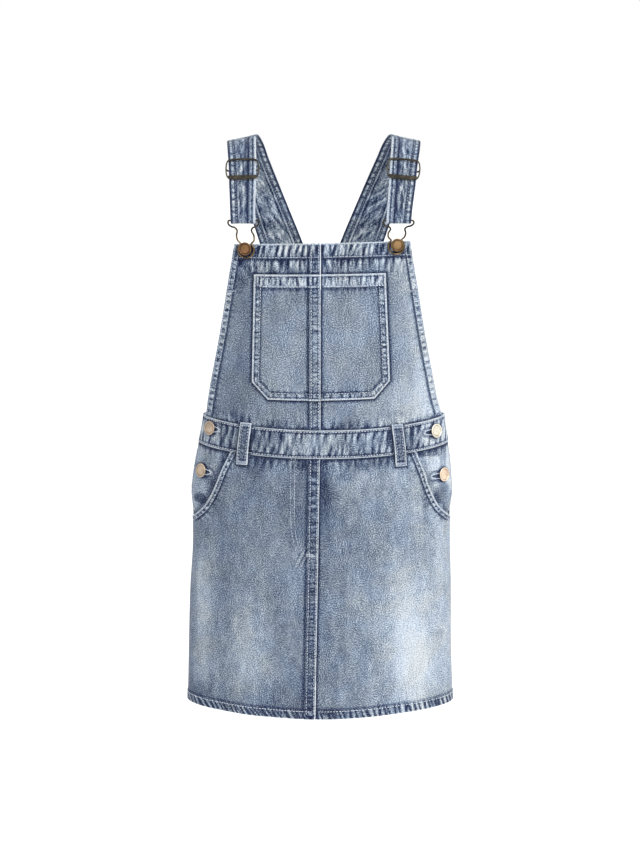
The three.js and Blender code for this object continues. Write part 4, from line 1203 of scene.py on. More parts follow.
BIB_ACROSS = 112.0
hem_stations = [*EDGE, 2.4, 3.6, 5.0, 6.5, 8.0, 9.5, 11.0, 12.5, 13.8, 14.8, 15.6, 16.2, 17.0]
edge_stations = [*EDGE, 2.4, 3.4, 4.6, 5.8, 6.6, 7.2, 8.2]
for side, end in SIDES:
    starts = lap_stations if side < 0 else EDGE
    down = spread(float(BIB_TOP - band_top(0.0)), hem_stations, [*EDGE, 2.4, 3.6], BIB_GRID)
    across = spread(BIB_ACROSS, starts, edge_stations, BIB_GRID)
    steady = hem_stations[-1]
    share = np.clip((down - steady) / (down[-1] - steady), 0, 1)[:, None]
    z = (BIB_TOP - down)[:, None]
    for again in range(5):
        first, last = side * lap_edge(side, z), bib_edge(side, z)
        x = side * laid_across(first, last, across, len(starts), len(edge_stations))
        turn = turn_at(x, z)
        foot = band_top(turn) + GAP
        top = BIB_TOP + BIB_TILT * x
        z = np.where(down[:, None] <= steady, top - down[:, None], mix(top - steady, foot, share))
    out, shift, tone, pucker = bib_cloth(side, x, z)
    d_edge = nearest(bib_edge(side, z) - np.abs(x), top - z, z - foot, np.abs(x - side * first))
    inner = skin(turn, z, shift - CLOTH + rounded(d_edge, SOFT_EDGE))
    bib = panel(f"bib_{end}_denim", skin(turn, z, out + shift), inner, tone, round_mm(turn, z), z,
                denim_cloth, pucker)
    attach(bib, "root")
    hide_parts(f"bib_{end}")
    thread = Stitching(f"bib_{end}_stitching")
    place = bib_place(side)
    run_x = np.linspace(side * 2.0, side * (bib_edge(side, -126.0) - 2.0), 50)
    thread.sew(place, points_from(run_x, BIB_TILT * run_x + BIB_TOP - BIB_HEM + 1.4), tone=0.5)
    line_z = np.linspace(BIB_TOP + BIB_TILT * side * 93.0 - 2.0, -303.0, 90)
    for inset in (1.8, 6.2):
        thread.sew(place, points_from(side * (bib_edge(side, line_z) - inset), line_z), tone=0.55)
    if side < 0:
        for first_z, last_z in ((BIB_TOP - 2, POCKET_TOP + 1), (POCKET_END - 1.5, -310.0)):
            line_z = np.linspace(first_z, last_z, 20)
            for inset in LAP_ROWS:
                thread.sew(place, points_from(lap_x(line_z) - inset, line_z), tone=0.58)
    tab_z = -163.0
    for drop in (0.0, 1.2):
        tab_x = np.linspace(bib_edge(side, tab_z) - 10.5, bib_edge(side, tab_z) - 1.0, 8) * side
        thread.sew(place, points_from(tab_x, tab_z - drop), pitch=1.6, long=1.4, tone=0.5)
    thread.finish()


# Bib pocket: a square patch pocket with cut-off lower corners, made in two halves with the same
# lapped strip, hemmed along its mouth and sewn to the bib with two rows of stitching.
LAY = 0.4
POCKET_HEM = 13.9


def pocket_cloth(side, x, z):
    """Height of the outer face, height of the lining, and wear of half the bib pocket."""
    d_lap = np.abs(x - lap_x(z))
    d_line, along = beside(side * x, z, pocket_line(side))
    d_top = POCKET_TOP + POCKET_TILT * x - z
    d_edge = nearest(d_line, d_top, d_lap)
    pucker = gathers(along, d_line, 121 + side, 6.4, 0.2)
    in_band = within(d_line, 1.2, 7.4, 1.0, 1.2) * ease((d_top - 2) / 3)
    past_band = past(d_line, 7.4, 1.0, 4.0) * ease((-z - 250) / 18)
    mouth = gathers(x, d_top, 124 + side, 5.6, 0.1)
    in_mouth = within(d_top, 1.2, POCKET_HEM - 1.4, 1.5, 1.5)
    below = past(d_top, POCKET_HEM, 1.0, 5.0)
    hem = HEM_RISE * folded(d_top, POCKET_HEM)
    tone = 0.53 + 0.05 * cloud(x / 24, z / 40, 127) + 0.06 * cloud(x / 7, z / 17, 128)
    tone = tone + 0.08 * patch(x, z, -38, 17, -232, 40) - 0.06 * patch(x, z, -45, 20, -185, 16)
    tone = tone + 0.09 * patch(x, z, 34, 22, -205, 48)
    tone = tone + 0.05 * (side < 0)
    tone = mix(tone, 0.50 + 0.85 * (pucker - 0.48), 0.85 * in_band) + 0.45 * (pucker - 0.5) * past_band
    tone = mix(tone, 0.54 + 1.0 * (mouth - 0.48), in_mouth) + 0.45 * (mouth - 0.55) * below
    # Painted shade below the mouth hem's step: a soft darkening, and the first dark line below just under its
    # edge.
    tone = tone - 0.14 * past(d_top, POCKET_HEM, 1, 8)
    tone = mix(tone, 0.9, 0.6 * hump(d_top - POCKET_HEM + 0.6, 0.9) * ease(0.4 + cloud(x / 4, 0, 129)))
    tone = indigo_and_shadow_lines(tone, (d_top - POCKET_HEM - 1.4, 1.6, 0.85), (d_top - 2.6, 0.8, 0.7),
                      (d_line - 2.5, 0.8, 0.75), (d_line - 8.2, 1.3, 0.75 * ease((d_top - 11) / 2)))
    lap, sink = 0.0, 0.0
    if side < 0:
        lap = folded(d_lap, LAP_WIDTH)
        sink, tone = lap_strip(tone, d_lap, z, 65)
    else:
        # Painted shadow beside the edge of the lapped strip.
        tone = indigo_and_shadow_line(tone, d_lap, 2.2, 1.0)
    tone = worn_and_highlight_line(tone, d_line, 1.5, 1.0, 1.0)
    tone = worn_and_highlight_line(tone, d_top, 1.5, 1.0, 0.95)
    full = 1.1 * ease((d_line - 8) / 26) * ease((d_top - 2) / 30) * ease((d_lap - 12) / 26)
    lining = LAP_RISE * lap + LAY + full
    out = LAP_RISE * lap + LAY + CLOTH + np.maximum(LAP_RISE * lap, hem) + full - sink
    out = out - 0.42 * (1 - pucker) * in_band - 0.42 * (1 - mouth) * in_mouth * (1 - lap)
    out = out - 0.2 * hump(d_line - 1.7, 0.5) - 0.2 * hump(d_line - 7.4, 0.7)
    out = out - 0.3 * (1 - mouth) * below - 0.3 * (1 - pucker) * past_band - rounded(d_edge, 0.55)
    fine = in_mouth + below + np.where(z < POCKET_CUT + 4, 0.9, -0.9) * (in_band + past_band)
    return out, lining, tone, fine + lap_creases(side, d_lap)


def pocket_place(side):
    def place(x, z, lift):
        return skin(turn_at(x, z), z, pocket_cloth(side, x, z)[0] + lift)
    return place


POCKET_ACROSS = 72.0
pocket_rim = [*EDGE[:4], 1.4, 2.0, 2.8, 4.0, 5.2, 6.3, 7.0, 7.7, 8.5]
for side, end in SIDES:
    starts = lap_stations if side < 0 else EDGE
    mouth_rows = [*EDGE, 2.6, 4, 5.5, 7, 8.5, 10, 11.6, 12.8, 13.6, 14.2, 15]
    upper = spread(POCKET_TOP - POCKET_CUT, mouth_rows, [0.0], GRID)
    lower = spread(POCKET_CUT - POCKET_END, [0.0], pocket_rim, GRID) + upper[-1]
    level = (POCKET_TOP - np.concatenate([upper, lower[1:]]))[:, None]
    first, last = side * lap_edge(side, level), pocket_half(side, level)
    across = spread(POCKET_ACROSS, starts, pocket_rim, GRID)
    x = side * laid_across(first, last, across, len(starts), len(pocket_rim))
    x, level = np.broadcast_arrays(x, level)
    z = level + POCKET_TILT * x
    out, lining, tone, pucker = pocket_cloth(side, x, z)
    turn = turn_at(x, z)
    d_line = beside(side * x, z, pocket_line(side))[0]
    d_edge = nearest(d_line, POCKET_TOP - level, np.abs(x - side * first))
    inner = skin(turn, z, lining + rounded(d_edge, SOFT_EDGE) * 0.6)
    pocket = panel(f"bib_pocket_{end}_denim", skin(turn, z, out), inner, tone, round_mm(turn, z), z,
                   denim_cloth, pucker)
    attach(pocket, "root")
    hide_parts(f"bib_pocket_{end}")
    thread = Stitching(f"bib_pocket_{end}_stitching")
    place = pocket_place(side)
    for inset in (1.7, 7.4):
        cut = inset * 0.46
        corners = pocket_half(side, np.array([POCKET_TOP, POCKET_CUT, POCKET_END]))
        rim_x = np.append(corners - [inset, inset, cut], 2.0)
        rim_z = np.array([POCKET_TOP - 1.0, POCKET_CUT - cut * 0.6, POCKET_END + inset, POCKET_END + inset])
        rim_z = rim_z + POCKET_TILT * side * rim_x
        thread.sew(place, dense_line(points_from(rim_x * side, rim_z), 120), tone=0.55)
    run_x = np.linspace(2.0, 67.0, 40) * side
    thread.sew(place, points_from(run_x, POCKET_TILT * run_x + POCKET_TOP - POCKET_HEM + 1.0), tone=0.72)
    if side < 0:
        line_z = np.linspace(POCKET_TOP - 2, POCKET_END + 2, 60)
        for inset in LAP_ROWS:
            thread.sew(place, points_from(lap_x(line_z) - inset, line_z), tone=0.58)
    thread.finish()


# Straps: doubled denim with puffed, stitched edges. Each goes from its free end behind the
# slider round the bar of the hook, up over the shoulder and down the back, where the two cross.
STRAP_THICK, STRAP_HALF, STRAP_ROW = 2.1, 14.0, 6.6
OUTSIDE_SEED, INSIDE_SEED = 131, 151
CROSSING = 1.55
STRAP = np.array([
    # x, y, z, width, roll, layer, wrap, lean
    (84.6, -51, -32.4, 26, 0, 0, 0, 1.5),
    (84.2, -53.7, -38.5, 26, 0, 0, 0, 1.2),
    (84, -58.8, -51.5, 26, 0, 0, 0, 0.8),
    (82.6, -64.2, -75.6, 26, 0, 0, 0, -0.4),
    (82, -66.1, -87.3, 26, 0, 0, 0, -0.7),
    (81.9, -66.8, -89.05, 26, 0, 0, 0, -0.7),
    (81.9, -68.55, -89.75, 26, 0, 0, 0, -0.7),
    (81.9, -70.3, -89.05, 26, 0, 0, 0, -0.7),
    (82, -71, -87.3, 26, 0, 0, 0, -0.7),
    (82.6, -69, -75, 26.5, 0, 0, 0, -0.4),
    (84, -63.5, -50, 28, 0, 0, 0, 0.8),
    (85, -56, -30, 29, -2, 0, 0, 1.6),
    (86.5, -43, -14.5, 30.5, -8, 0, 0, 2.2),
    (87.7, -23, -6.5, 31.5, -12.7, 0, 0, 2.4),
    (88, 0, -4.8, 32.3, -12.7, 0, 0, 2.4),
    (86, 22, -7, 33.5, -11, 0, 0, 2.2),
    (82, 40, -17, 35, -8, 0, 0, 1.8),
    (77, 50, -34, 37, -4, 0, 0, 1.2),
    (68, 56, -60, 40, 0, 0, 0, 0.6),
    (46, 61, -120, 45, 0, 0.6, 0.7, 0),
    (24, 63, -180, 47, 0, 1, 1, 0),
    (0, 61, -249, 48, 0, 1, 1, 0),
    (-19, 53, -300, 48, 0, 1, 1, 0),
    (-26, 50, -328, 48, 0, 1, 1, 0),
])
STRAP_BACK = [
    # height, depth behind and half width of the surface that the straps lie on at the back
    (-340, 49.8, 129), (-305, 48.8, 126), (-285, 52, 129), (-249, 60, 143), (-180, 63.5, 180),
    (-110, 62, 228),
]
back_depth_at, back_half_at = smooth_line(STRAP_BACK, 1), smooth_line(STRAP_BACK, 2)
denim_strap = denim("strap denim", 1.3, math.radians(14))


def bent_line(points, closed=False):
    """A smooth line through points, read from 0 to 1."""
    points = np.asarray(points, float)
    count = len(points)
    spans = count if closed else count - 1

    def point(index):
        if closed:
            return points[index % count]
        inside = points[np.clip(index, 0, count - 1)]
        before = 2 * points[0] - points[1]
        after = 2 * points[-1] - points[-2]
        inside = np.where((index < 0)[:, None], before, inside)
        return np.where((index > count - 1)[:, None], after, inside)

    def at(t):
        place = np.clip(np.asarray(t, float), 0, 1) * spans
        i = np.minimum(np.floor(place).astype(int), spans - 1)
        w = (place - i)[:, None]
        p0, p1, p2, p3 = (point(i + k) for k in (-1, 0, 1, 2))
        steps = (p1 - p0, p2 - p1, p3 - p2)
        d0, d1, d2 = (np.sqrt(np.linalg.norm(step, axis=1, keepdims=True)) for step in steps)
        t1 = ((p1 - p0) / d0 - (p2 - p0) / (d0 + d1) + (p2 - p1) / d1) * d1
        t2 = ((p2 - p1) / d1 - (p3 - p1) / (d1 + d2) + (p3 - p2) / d2) * d1
        return p1 + w * t1 + w * w * (3 * (p2 - p1) - 2 * t1 - t2) + w ** 3 * (2 * (p1 - p2) + t1 + t2)

    return at


def strap_frames(t, side):
    """Where the strap runs, its direction, its width's direction and the way its face looks."""
    points = STRAP[:, :3].copy()
    points[:, 0] += side * STRAP[:, 7]
    points[:, 1] += side * CROSSING * STRAP[:, 5] * (1 - STRAP[:, 6])
    line = bent_line(points)
    along = unit(line(np.clip(t + 1e-4, 0, 1)) - line(np.clip(t - 1e-4, 0, 1)))
    flat = unit(np.array([1.0, 0, 0]) - along * along[:, :1])
    face = np.cross(flat, along)
    roll = np.radians(np.interp(t * (len(STRAP) - 1), range(len(STRAP)), STRAP[:, 4]))[:, None]
    across = flat * np.cos(roll) + face * np.sin(roll)
    return line(t), along, across, unit(np.cross(across, along))


def back_depth(x, z):
    square, turn = square_at(z), 0.0
    for again in range(12):
        turn = np.arcsin(np.clip((x / back_half_at(z)) * (1 + square) + square * np.sin(3 * turn), -1, 1))
    return back_depth_at(z) * np.cos(turn)


class StrapCloth:
    """One strap laid out flat: a across it, b along it from its free end."""

    def __init__(self, side):
        self.side = side
        t = np.linspace(0, 1, 3000)
        self.middle, self.along, self.across, self.out = strap_frames(t, side)
        self.run = run_along(self.middle)
        rows, stations = t * (len(STRAP) - 1), range(len(STRAP))
        self.width, self.layer, self.wrap = (np.interp(rows, stations, STRAP[:, k]) for k in (3, 5, 6))

    def read(self, values, b):
        if values.ndim == 1:
            return np.interp(b, self.run, values)
        return np.stack([np.interp(b, self.run, values[:, k]) for k in range(3)], -1)

    def point(self, a, b, off):
        """The point off the middle of the strap's thickness; a runs from -1 to 1."""
        sideways = (a * self.read(self.width, b) / 2)[..., None]
        spot = self.read(self.middle, b) + self.read(self.across, b) * sideways
        place = spot + self.read(self.out, b) * off[..., None]
        laid = back_depth(spot[..., 0], spot[..., 2]) + self.side * CROSSING * self.read(self.layer, b) + off
        place[..., 1] = mix(place[..., 1], laid, self.read(self.wrap, b))
        place[..., 0] *= self.side
        return place

    def cloth(self, a, b, seed):
        """How far a face stands off the middle of the strap, and its wear."""
        from_edge = (1 - np.abs(a)) * self.read(self.width, b) / 2
        across = a * self.read(self.width, b) / 2
        pucker = gathers(b + 40 * np.sign(a), from_edge, seed, 7.4, 0.35)
        in_edge = within(from_edge, 1.5, 6.1, 1.4, 1.0)
        groove = hump(from_edge - STRAP_ROW, 0.9)
        end = np.minimum(b, self.run[-1] - b)
        off = STRAP_THICK / 2 - 0.40 * (1 - pucker) * in_edge - 0.34 * groove
        off = off - 0.22 * ease((from_edge - 7.2) / 1.5) - rounded(np.minimum(from_edge, end), 0.95)
        lean = 0.25 + 0.3 * ease((b - 150) / 60)
        slubs = cloud((across + lean * b) / 1.7, (b - lean * across) / 9.0, seed + 7)
        flecks = cloud((across + lean * b) / 0.9, (b - lean * across) / 4.0, seed + 9)
        centre = ease((from_edge - 8.4) / 1.0)
        tone = 0.53 - 0.05 * (self.side < 0) * ease((170 - b) / 30)
        tone = tone + 0.07 * cloud(across / 12, b / 30, seed + 8)
        tone = tone + 0.05 * (-self.side) * ease((b - 190) / 20)
        tone = tone + centre * (0.30 * slubs + 0.24 * flecks)
        tone = mix(tone, 0.68 + 0.70 * (pucker - 0.5), 0.9 * in_edge)
        # Painted highlight down the inner edge of each strap's front length: a white line with a dark line of
        # painted shade beside it, in place of the dark line at that edge.
        highlit_edge = ease(-a * 4) * ease((182 - b) / 20)
        behind = ease((b - 190) / 20)
        tone = mix(tone, 0.80, (0.5 + 0.4 * behind) * hump(from_edge - 8.8, 0.9))
        tone = indigo_and_shadow_lines(tone, (from_edge - 10.9, 1.0, 0.3 + 0.6 * behind),
                          (from_edge - 6.7 - 1.6 * highlit_edge, 1.35, 1.0),
                          (from_edge - 1.2, 1.3, 1 - highlit_edge))
        tone = worn_and_highlight_line(tone, from_edge - 0.7, 1.4, 1.0, highlit_edge)
        tone = indigo_and_shadow_line(tone, from_edge - 3.5, 0.9, 0.95 * highlit_edge)
        tone = worn_and_highlight_line(tone, end, 1.2, 0.95, 0.7)
        return off, tone, 0.9 * centre - 0.7 * in_edge * (1 - hump(from_edge - 6.4, 1.6))


for side, end in SIDES:
    strap_cloth = StrapCloth(side)
    total = strap_cloth.run[-1]
    b = spread(float(total), EDGE, EDGE, 1.75)
    half = np.concatenate([EDGE[:4], np.arange(1.4, 12.2, 0.55), [13.0]])
    shares = np.concatenate([half, [STRAP_HALF], 2 * STRAP_HALF - half[::-1]]) / STRAP_HALF - 1.0
    b, a = np.meshgrid(b, shares, indexing="ij")
    off, tone, pucker = strap_cloth.cloth(a, b, OUTSIDE_SEED + side)
    under, under_tone = strap_cloth.cloth(a, b, INSIDE_SEED + side)[:2]
    outer, inner = strap_cloth.point(a, b, off), strap_cloth.point(a, b, -under)
    strap = panel(f"strap_{end}_denim", outer, inner, tone, a * STRAP_HALF, b, denim_strap, pucker)
    values = np.concatenate([tone.ravel(), under_tone.ravel()])
    strap.data.attributes["wash"].data.foreach_set("value", np.clip(values, 0, 1).astype("f"))
    creases = np.concatenate([CREASE * pucker.ravel()] * 2).astype("f")
    strap.data.attributes["pucker"].data.foreach_set("value", creases)
    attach(strap, "root")
    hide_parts(f"strap_{end}")
    thread = Stitching(f"strap_{end}_stitching")
    for face in (1, -1):
        def strap_place(a_mm, b_mm, lift):
            share = np.sign(a_mm) * (1 - 2 * np.abs(a_mm) / strap_cloth.read(strap_cloth.width, b_mm))
            seed = OUTSIDE_SEED if face > 0 else INSIDE_SEED
            off = strap_cloth.cloth(share, b_mm, seed + side)[0]
            return strap_cloth.point(share, b_mm, face * (off + lift))
        for sign in (-1, 1):
            run = np.linspace(2.0, total - 2.0, 400)
            thread.sew(strap_place, points_from(sign * STRAP_ROW, run), tone=0.22)
    thread.finish()


# Belt loops: folded denim strips sewn over the waistband at both ends, worn white along their
# folds and dark down the middle.
LOOP_SEED = 171


def loop_cloth(side, a, v):
    """Lining height, outer height, angle, level and wear of a belt loop; a across, v down it."""
    z = mix(LOOP_TOP[1], LOOP_END[1], v) - (RIGHT_DROP if side > 0 else 0.0)
    x = mix(LOOP_TOP[0], LOOP_END[0], v) + a
    turn = turn_at(side * x, z)
    on_band = ease((z - band_bottom(turn) + 6.0) / 4.0)
    under = mix(LAY, BAND_OUT + LAY, on_band) + 1.2 * np.sin(math.pi * v) ** 2
    d_end, d_edge = np.minimum(v, 1 - v) * LOOP_LONG, LOOP_WIDTH / 2 - np.abs(a)
    ridges = gathers(v * LOOP_LONG, a, LOOP_SEED + side, 6.2, 0.25)
    thick = LOOP_THICK - 0.30 * (1 - ridges) * ease((d_edge - 1) / 1.0) - 0.28 * hump(d_edge - 2.6, 0.6)
    thick = thick - 0.25 * hump(d_end - 3.2, 0.9) - rounded(np.minimum(d_edge, d_end), 0.8)
    tone = 0.33 + 0.16 * (ridges - 0.5)
    tone = indigo_and_shadow_lines(tone, (d_edge - 2.5, 1.0, 0.95), (d_end - 5.6, 1.2, 0.9))
    tone = mix(tone, 0.66, 0.7 * ease((4.6 - d_end) / 1.0))
    tone = indigo_and_shadow_line(tone, d_end - 2.4, 0.6, 0.5)
    tone = worn_and_highlight_line(tone, d_edge, 1.15, 1.0, 1.0)
    tone = worn_and_highlight_line(tone, d_end, 1.1, 0.95, 0.85)
    return under, under + thick, turn, z, tone


for side, end in SIDES:
    v = spread(LOOP_LONG, EDGE, EDGE, 1.0) / LOOP_LONG
    a = spread(LOOP_WIDTH, [*EDGE, 2.2, 3.0], [*EDGE, 2.2, 3.0], 0.9) - LOOP_WIDTH / 2
    v, a = np.meshgrid(v, a, indexing="ij")
    under, top, turn, z, tone = loop_cloth(side, a, v)
    d_edge = np.minimum(LOOP_WIDTH / 2 - np.abs(a), LOOP_LONG * np.minimum(v, 1 - v))
    inner = skin(turn, z, under + np.clip(rounded(d_edge, 0.8), 0, 0.7))
    loop = panel(f"belt_loop_{end}_denim", skin(turn, z, top), inner, tone, a + 0 * z, z, denim_band, -0.3)
    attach(loop, "root")
    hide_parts(f"belt_loop_{end}")
    thread = Stitching(f"belt_loop_{end}_stitching")

    def loop_place(a_mm, down_mm, lift):
        top, turn, z = loop_cloth(side, a_mm, down_mm / LOOP_LONG)[1:4]
        return skin(turn, z, top + lift)

    run = np.linspace(2.0, 44.0, 30)
    for inset in (-3.4, 3.4):
        thread.sew(loop_place, points_from(inset, run), tone=0.6)
    bar = np.linspace(-4.8, 4.8, 12)
    for down in (2.6, 3.6, 42.4, 43.4):
        thread.sew(loop_place, points_from(bar, down), pitch=1.25, long=1.1, tone=0.55)
    thread.finish()


# Button stands: strips of denim sewn inside the back at each side opening, which carry the side
# buttons and lie under the front when the dress is buttoned.
STAND_LONG, STAND_WIDE, STAND_TOP = 97.0, 42.0, -308.0
for side, end in SIDES:
    down = spread(STAND_LONG, EDGE, EDGE, GRID)
    across = spread(STAND_WIDE, EDGE, EDGE, 1.4)
    degrees = mix(62.0, 104.0, across / STAND_WIDE)
    turn = np.radians(degrees)[None, :] + 0 * down[:, None]
    z = STAND_TOP - down[:, None] + 0 * turn
    under = mix(4.2, 2.6, ease((degrees - 91.0) / 6.0))[None, :] + 0 * z
    s = round_mm(turn, z)
    edge = rim_gap(down, across)
    soft = gathers(z, 0 * s, 181, 9.0)
    tone = 0.42 + 0.08 * cloud(s / 12, z / 18, 183) + 0.35 * hump(edge, 1.0) + 0.12 * (soft - 0.5)
    edge = rounded(edge, 0.55)
    stand = panel(f"button_stand_{end}_denim", skin(turn * side, z, -under - edge - 0.15 * (1 - soft)),
                  skin(turn * side, z, -under - CLOTH + edge), tone, s, z, denim_band, -0.2)
    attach(stand, "root")
    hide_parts(f"button_stand_{end}")


# Hooks: each is one length of bronzed spring wire, bent into a bar for the strap, a narrow
# throat and a ring that drops over the bib button.
WIRE = 0.95
HOOK = [
    # half of the wire's path: across and height
    (12, -87.3), (15.4, -87.5), (16, -90.6), (13.4, -93.4), (9.4, -94.8), (7.6, -97.6), (9.2, -103),
    (8.6, -108), (5.6, -111.6), (7, -113.6), (8.4, -117.8), (6.2, -123.8), (0, -126.3),
]
HOOK_BAR_Y, HOOK_BAR_Z, SEAT_Z = -68.55, -87.3, -112.0
HOOK_BAR_X, HOOK_BAR_LEAN, HOOK_BUTTON_Z = 81.8, -0.7, -116.5


def metal(name, dark, bright, rough, grain):
    """Plated metal whose raised places are rubbed bright and whose hollows keep a dark patina."""
    paint, tree, shader, worn = new_paint(name)
    place = node(tree, "ShaderNodeTexCoord").outputs["Object"]

    def mottled(scale, detail):
        noise = node(tree, "ShaderNodeTexNoise", {"Vector": place, "Scale": scale, "Detail": detail})
        return noise.outputs["Fac"]

    fleck = mottled(grain, 4.0)
    both = reckon(tree, "MULTIPLY_ADD", fleck, 0.5, mottled(grain * 0.16, 2.0))
    ramp = node(tree, "ShaderNodeValToRGB", {0: reckon(tree, "MULTIPLY_ADD", both, 0.55, worn)})
    ramp.color_ramp.elements[0].color = linear(*dark)
    ramp.color_ramp.elements[0].position = 0.45
    ramp.color_ramp.elements[1].color = linear(*bright)
    ramp.color_ramp.elements[1].position = 1.05
    dull = node(tree, "ShaderNodeMapRange", {"Value": fleck, "To Min": rough - 0.1, "To Max": rough + 0.15})
    bump = node(tree, "ShaderNodeBump", {"Height": fleck, "Strength": 0.25, "Distance": 0.0001})
    feed(shader, {"Base Color": ramp.outputs[0], "Normal": bump.outputs[0]})
    feed(shader, {"Roughness": dull.outputs[0], "Metallic": 0.85})
    return paint


bronze_wire = metal("bronzed wire", (50, 46, 40), (190, 158, 112), 0.34, 900.0)


def wire_grid(line, count, radius, sides, closed):
    """Points of a round wire along a line, ring by ring."""
    t = np.linspace(0, 1, count, endpoint=not closed)
    middle = line(t)
    along = unit(line((t + 1e-4) % 1.0 if closed else np.clip(t + 1e-4, 0, 1)) -
                 line((t - 1e-4) % 1.0 if closed else np.clip(t - 1e-4, 0, 1)))
    up = np.zeros_like(along)
    guide = np.array([0.05, -1.0, 0.12])
    for i in range(count):
        guide = guide - along[i] * guide.dot(along[i])
        guide = guide / np.linalg.norm(guide)
        up[i] = guide
    sideways = np.cross(along, up)
    angle = np.arange(sides) * 2 * math.pi / sides
    ring = up[:, None] * np.cos(angle)[:, None] + sideways[:, None] * np.sin(angle)[:, None]
    return middle[:, None] + radius * ring


def tube(grid, closed):
    """Faces of a tube over rings of points, with its ends closed when it isn't a ring itself."""
    count, sides = grid.shape[:2]
    index = np.arange(count * sides).reshape(count, sides)
    after = np.roll(index, -1, 0) if closed else index[1:]
    before = index if closed else index[:-1]
    faces = points_from(before, np.roll(before, -1, 1), np.roll(after, -1, 1), after).reshape(-1, 4)
    if not closed:
        caps = []
        for ring in (index[0][::-1], index[-1]):
            caps += [(ring[0], ring[k], ring[k + 1], ring[k + 2]) for k in range(1, sides - 2, 2)]
        faces = np.concatenate([faces, np.array(caps)])
    return grid.reshape(-1, 3), faces


def together(parts):
    points, faces, start = [], [], 0
    for part_points, part_faces in parts:
        points.append(part_points)
        faces.append(part_faces + start)
        start += len(part_points)
    return np.concatenate(points), np.concatenate(faces)


def metal_piece(name, node_name, parts, paint, side, tone):
    """A piece of wire and bars as one mesh, mirrored for the left side."""
    points, faces = together(parts)
    wash = tone(points) if callable(tone) else np.full(len(points), tone)
    points = points * np.array([side, 1.0, 1.0])
    if side < 0:
        faces = faces[:, ::-1]
    made = piece(name, points, faces, wash, points[:, [0, 2]], paint)
    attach(made, "root")
    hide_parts(node_name)


def hook_line(side):
    rows = HOOK + [(-x, z) for x, z in HOOK[:-1]][::-1]
    across, level = np.array(rows, float).T
    lifted = ease((level - SEAT_Z) / (HOOK_BAR_Z - SEAT_Z))
    button_x, button_z = BIB_BUTTON[side]
    x = mix(button_x, side * HOOK_BAR_X + HOOK_BAR_LEAN, lifted) + across
    z = level + (button_z - HOOK_BUTTON_Z) * (1 - lifted)
    low = np.minimum(z, SEAT_Z)
    seat = skin(turn_at(x, low), low, HEM_RISE + LAY + WIRE)[:, 1]
    return bent_line(points_from(x, mix(seat, HOOK_BAR_Y, lifted), z), closed=True)


for side, end in SIDES:
    hook_wire = tube(wire_grid(hook_line(side), 260, WIRE, 14, True), True)
    metal_piece(f"hook_{end}_wire", f"hook_{end}", [hook_wire], bronze_wire, 1,
                lambda p: 0.02 + 0.16 * ease((-p[:, 2] - 96) / 12))


# Sliders: a rounded wire frame in front of the strap, with a flat bar along its lower side and a
# middle bar that the strap is threaded over behind it.
SLIDER_ROW = 10.745 / (len(STRAP) - 1)
HALF, BOW, UP, CORNER, OUT = 15.9, 17.2, 9.8, 1.8, 2.4
LEG, BEHIND = BOW - 0.21, -2.45
SLIDER_RING = [
    # the frame's path, across and along the strap
    (CORNER - HALF, UP), (HALF - CORNER, UP), (HALF, UP - CORNER), (BOW, 0), (HALF, CORNER - UP),
    (HALF - CORNER, -UP), (CORNER - HALF, -UP), (-HALF, CORNER - UP), (-BOW, 0), (-HALF, UP - CORNER),
]
STAPLE = [
    # the middle bar's path behind the strap, across and out from it
    (-LEG, OUT), (-LEG, 0), (0.5 - HALF, BEHIND), (0, BEHIND), (HALF - 0.5, BEHIND), (LEG, 0), (LEG, OUT),
]
slider_metal = metal("bronzed slider", (48, 46, 40), (126, 116, 98), 0.4, 800.0)


def slider_spot(across, along, out):
    middle, direction, width, face = slider_frame
    return middle + width * across + direction * along + face * out


def bar_block(across, along, out, centre):
    """A flat metal bar with rounded corners and softened edges, as rings across its length."""
    rings = []
    angle = (np.arange(16) + 0.5) * 2 * math.pi / 16
    section = points_from(np.sign(np.cos(angle)) * np.abs(np.cos(angle)) ** 0.35,
                        np.sign(np.sin(angle)) * np.abs(np.sin(angle)) ** 0.35)
    ends = [(1, 0.55), (0.985, 0.82), (0.96, 0.95), (0.92, 1)]
    for share, size in [(-share, size) for share, size in ends] + [(0, 1)] + ends[::-1]:
        rings.append([
            slider_spot(share * across, centre[0] + a * along * size, centre[1] + b * out * size)
            for a, b in section
        ])
    return tube(np.array(rings), False)


for side, end in SIDES:
    slider_frame = [values[0] for values in strap_frames(np.array([SLIDER_ROW]), side)]
    frame_line = bent_line([slider_spot(across, along, OUT) for across, along in SLIDER_RING], closed=True)
    round_frame = np.linspace(0, 1, 160, endpoint=False)
    stout = 0.74 + sum(0.32 * ease(1.6 - np.abs(round_frame - upper) * 12) for upper in (0.03, 1.03))
    frame_wire = tube(wire_grid(frame_line, 160, stout[:, None, None], 12, True), True)
    staple_line = bent_line([slider_spot(across, 0, out) for across, out in STAPLE])
    staple = tube(wire_grid(staple_line, 70, 0.9, 10, False), False)
    lower = bar_block(HALF - 0.75, 2.0, 0.8, (0.9 - UP, OUT))
    metal_piece(f"slider_{end}_frame", f"slider_{end}", [frame_wire, staple, lower], slider_metal, side, 0.1)


# Buttons: copper jeans buttons, pressed over a shank: two on the bib under the hooks and two at
# each side opening, with a rolled rim and a dished face gone dark round its edge.
BUTTON_THICK = 1.7
BUTTON_SIDES = 48
SHANK = 2.2
STAND_UNDER = 4.2
copper = metal("antique copper", (70, 48, 32), (158, 118, 82), 0.36, 700.0)
gold_copper = metal("golden copper", (76, 58, 38), (163, 130, 90), 0.36, 700.0)
tan_copper = metal("tan copper", (98, 84, 74), (208, 189, 167), 0.42, 700.0)
rose_copper = metal("pale rose copper", (134, 106, 86), (250, 228, 203), 0.42, 700.0)
cream_copper = metal("pale worn copper", (146, 130, 100), (252, 250, 236), 0.42, 700.0)


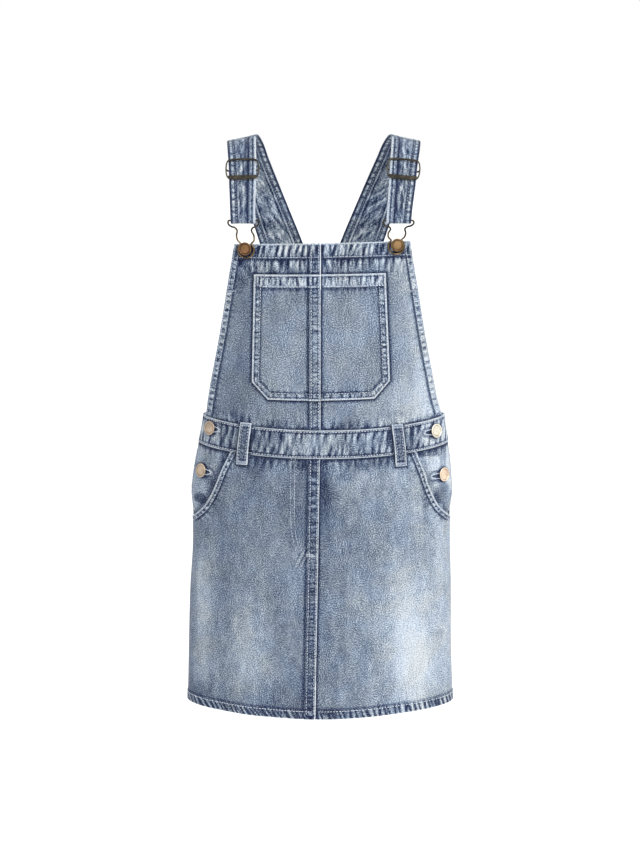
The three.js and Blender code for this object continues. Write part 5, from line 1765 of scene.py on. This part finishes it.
def turned(profile, centre):
    """A round piece turned from a profile of radius and height along the cloth's normal."""
    x, z = centre
    angle_at = turn_at(x, z)
    foot = skin(np.array([angle_at]), np.array([z]), np.array([0.0]))[0]
    out = unit(skin(np.array([angle_at]), np.array([z]), np.array([1.0]))[0] - foot)
    side_way = unit(np.cross(np.array([0, 0, 1.0]), out))
    up_way = np.cross(out, side_way)
    angle = np.arange(BUTTON_SIDES) * 2 * math.pi / BUTTON_SIDES
    circle = np.outer(np.cos(angle), side_way) + np.outer(np.sin(angle), up_way)
    rings = [foot + out * height + radius * circle for radius, height in profile]
    return tube(np.array(rings), False)


def button_profile(foot, head, radius):
    top = head + BUTTON_THICK
    return [
        (0.02, foot), (SHANK, foot), (SHANK, head - 0.2), (SHANK + 0.5, head), (radius - 1.2, head + 0.05),
        (radius - 0.35, head + 0.3), (radius, head + 0.75), (radius, top - 0.6), (radius - 0.2, top - 0.22),
        (radius - 0.6, top), (radius - 1.1, top + 0.02), (radius - 1.5, top - 0.18),
        (radius - 1.75, top - 0.52), (radius - 2.1, top - 0.60), (radius - 2.8, top - 0.5),
        (3.4, top - 0.34), (1.6, top - 0.25), (0.02, top - 0.22),
    ]


def button_tone(profile, radius, rim):
    """Rubbed bright on the face, dark in the ring beside it and, on the bib, round the rim."""
    from_middle = np.array([row[0] for row in profile])
    height = np.array([row[1] for row in profile])
    face = height > height.max() - 0.7
    groove = 0.4 if rim < 0 else 0.26
    ring = 0.42 - groove * hump(from_middle - (radius - 1.9), 0.5)
    ring = ring + rim * hump(from_middle - (radius - 0.8), 0.4)
    return np.repeat(np.where(face, ring, 0.05), BUTTON_SIDES)


SIDE_FOOT = GAP - STAND_UNDER
buttons = [
    # name, places, level of the foot and of the head, radius, tone of the rim, metals
    ("bib_button", BIB_BUTTON, HEM_RISE + GAP, HEM_RISE + 3.4, 7.0, -0.3, {-1: copper, 1: gold_copper}),
    ("waist_button", WAIST_BUTTON, SIDE_FOOT, BAND_OUT + GAP, 7.7, 0.03, {-1: tan_copper, 1: cream_copper}),
    ("hip_button", HIP_BUTTON, SIDE_FOOT, GAP, 7.7, 0.03, {-1: tan_copper, 1: rose_copper}),
]
for side, end in SIDES:
    for button, spots, foot, head, radius, rim, paints in buttons:
        profile = button_profile(foot, head, radius)
        points, faces = turned(profile, spots[side])
        tone = button_tone(profile, radius, rim)
        made = piece(f"{button}_{end}_cap", points, faces, tone, points[:, [0, 2]], paints[side])
        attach(made, "root")
        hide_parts(f"{button}_{end}")
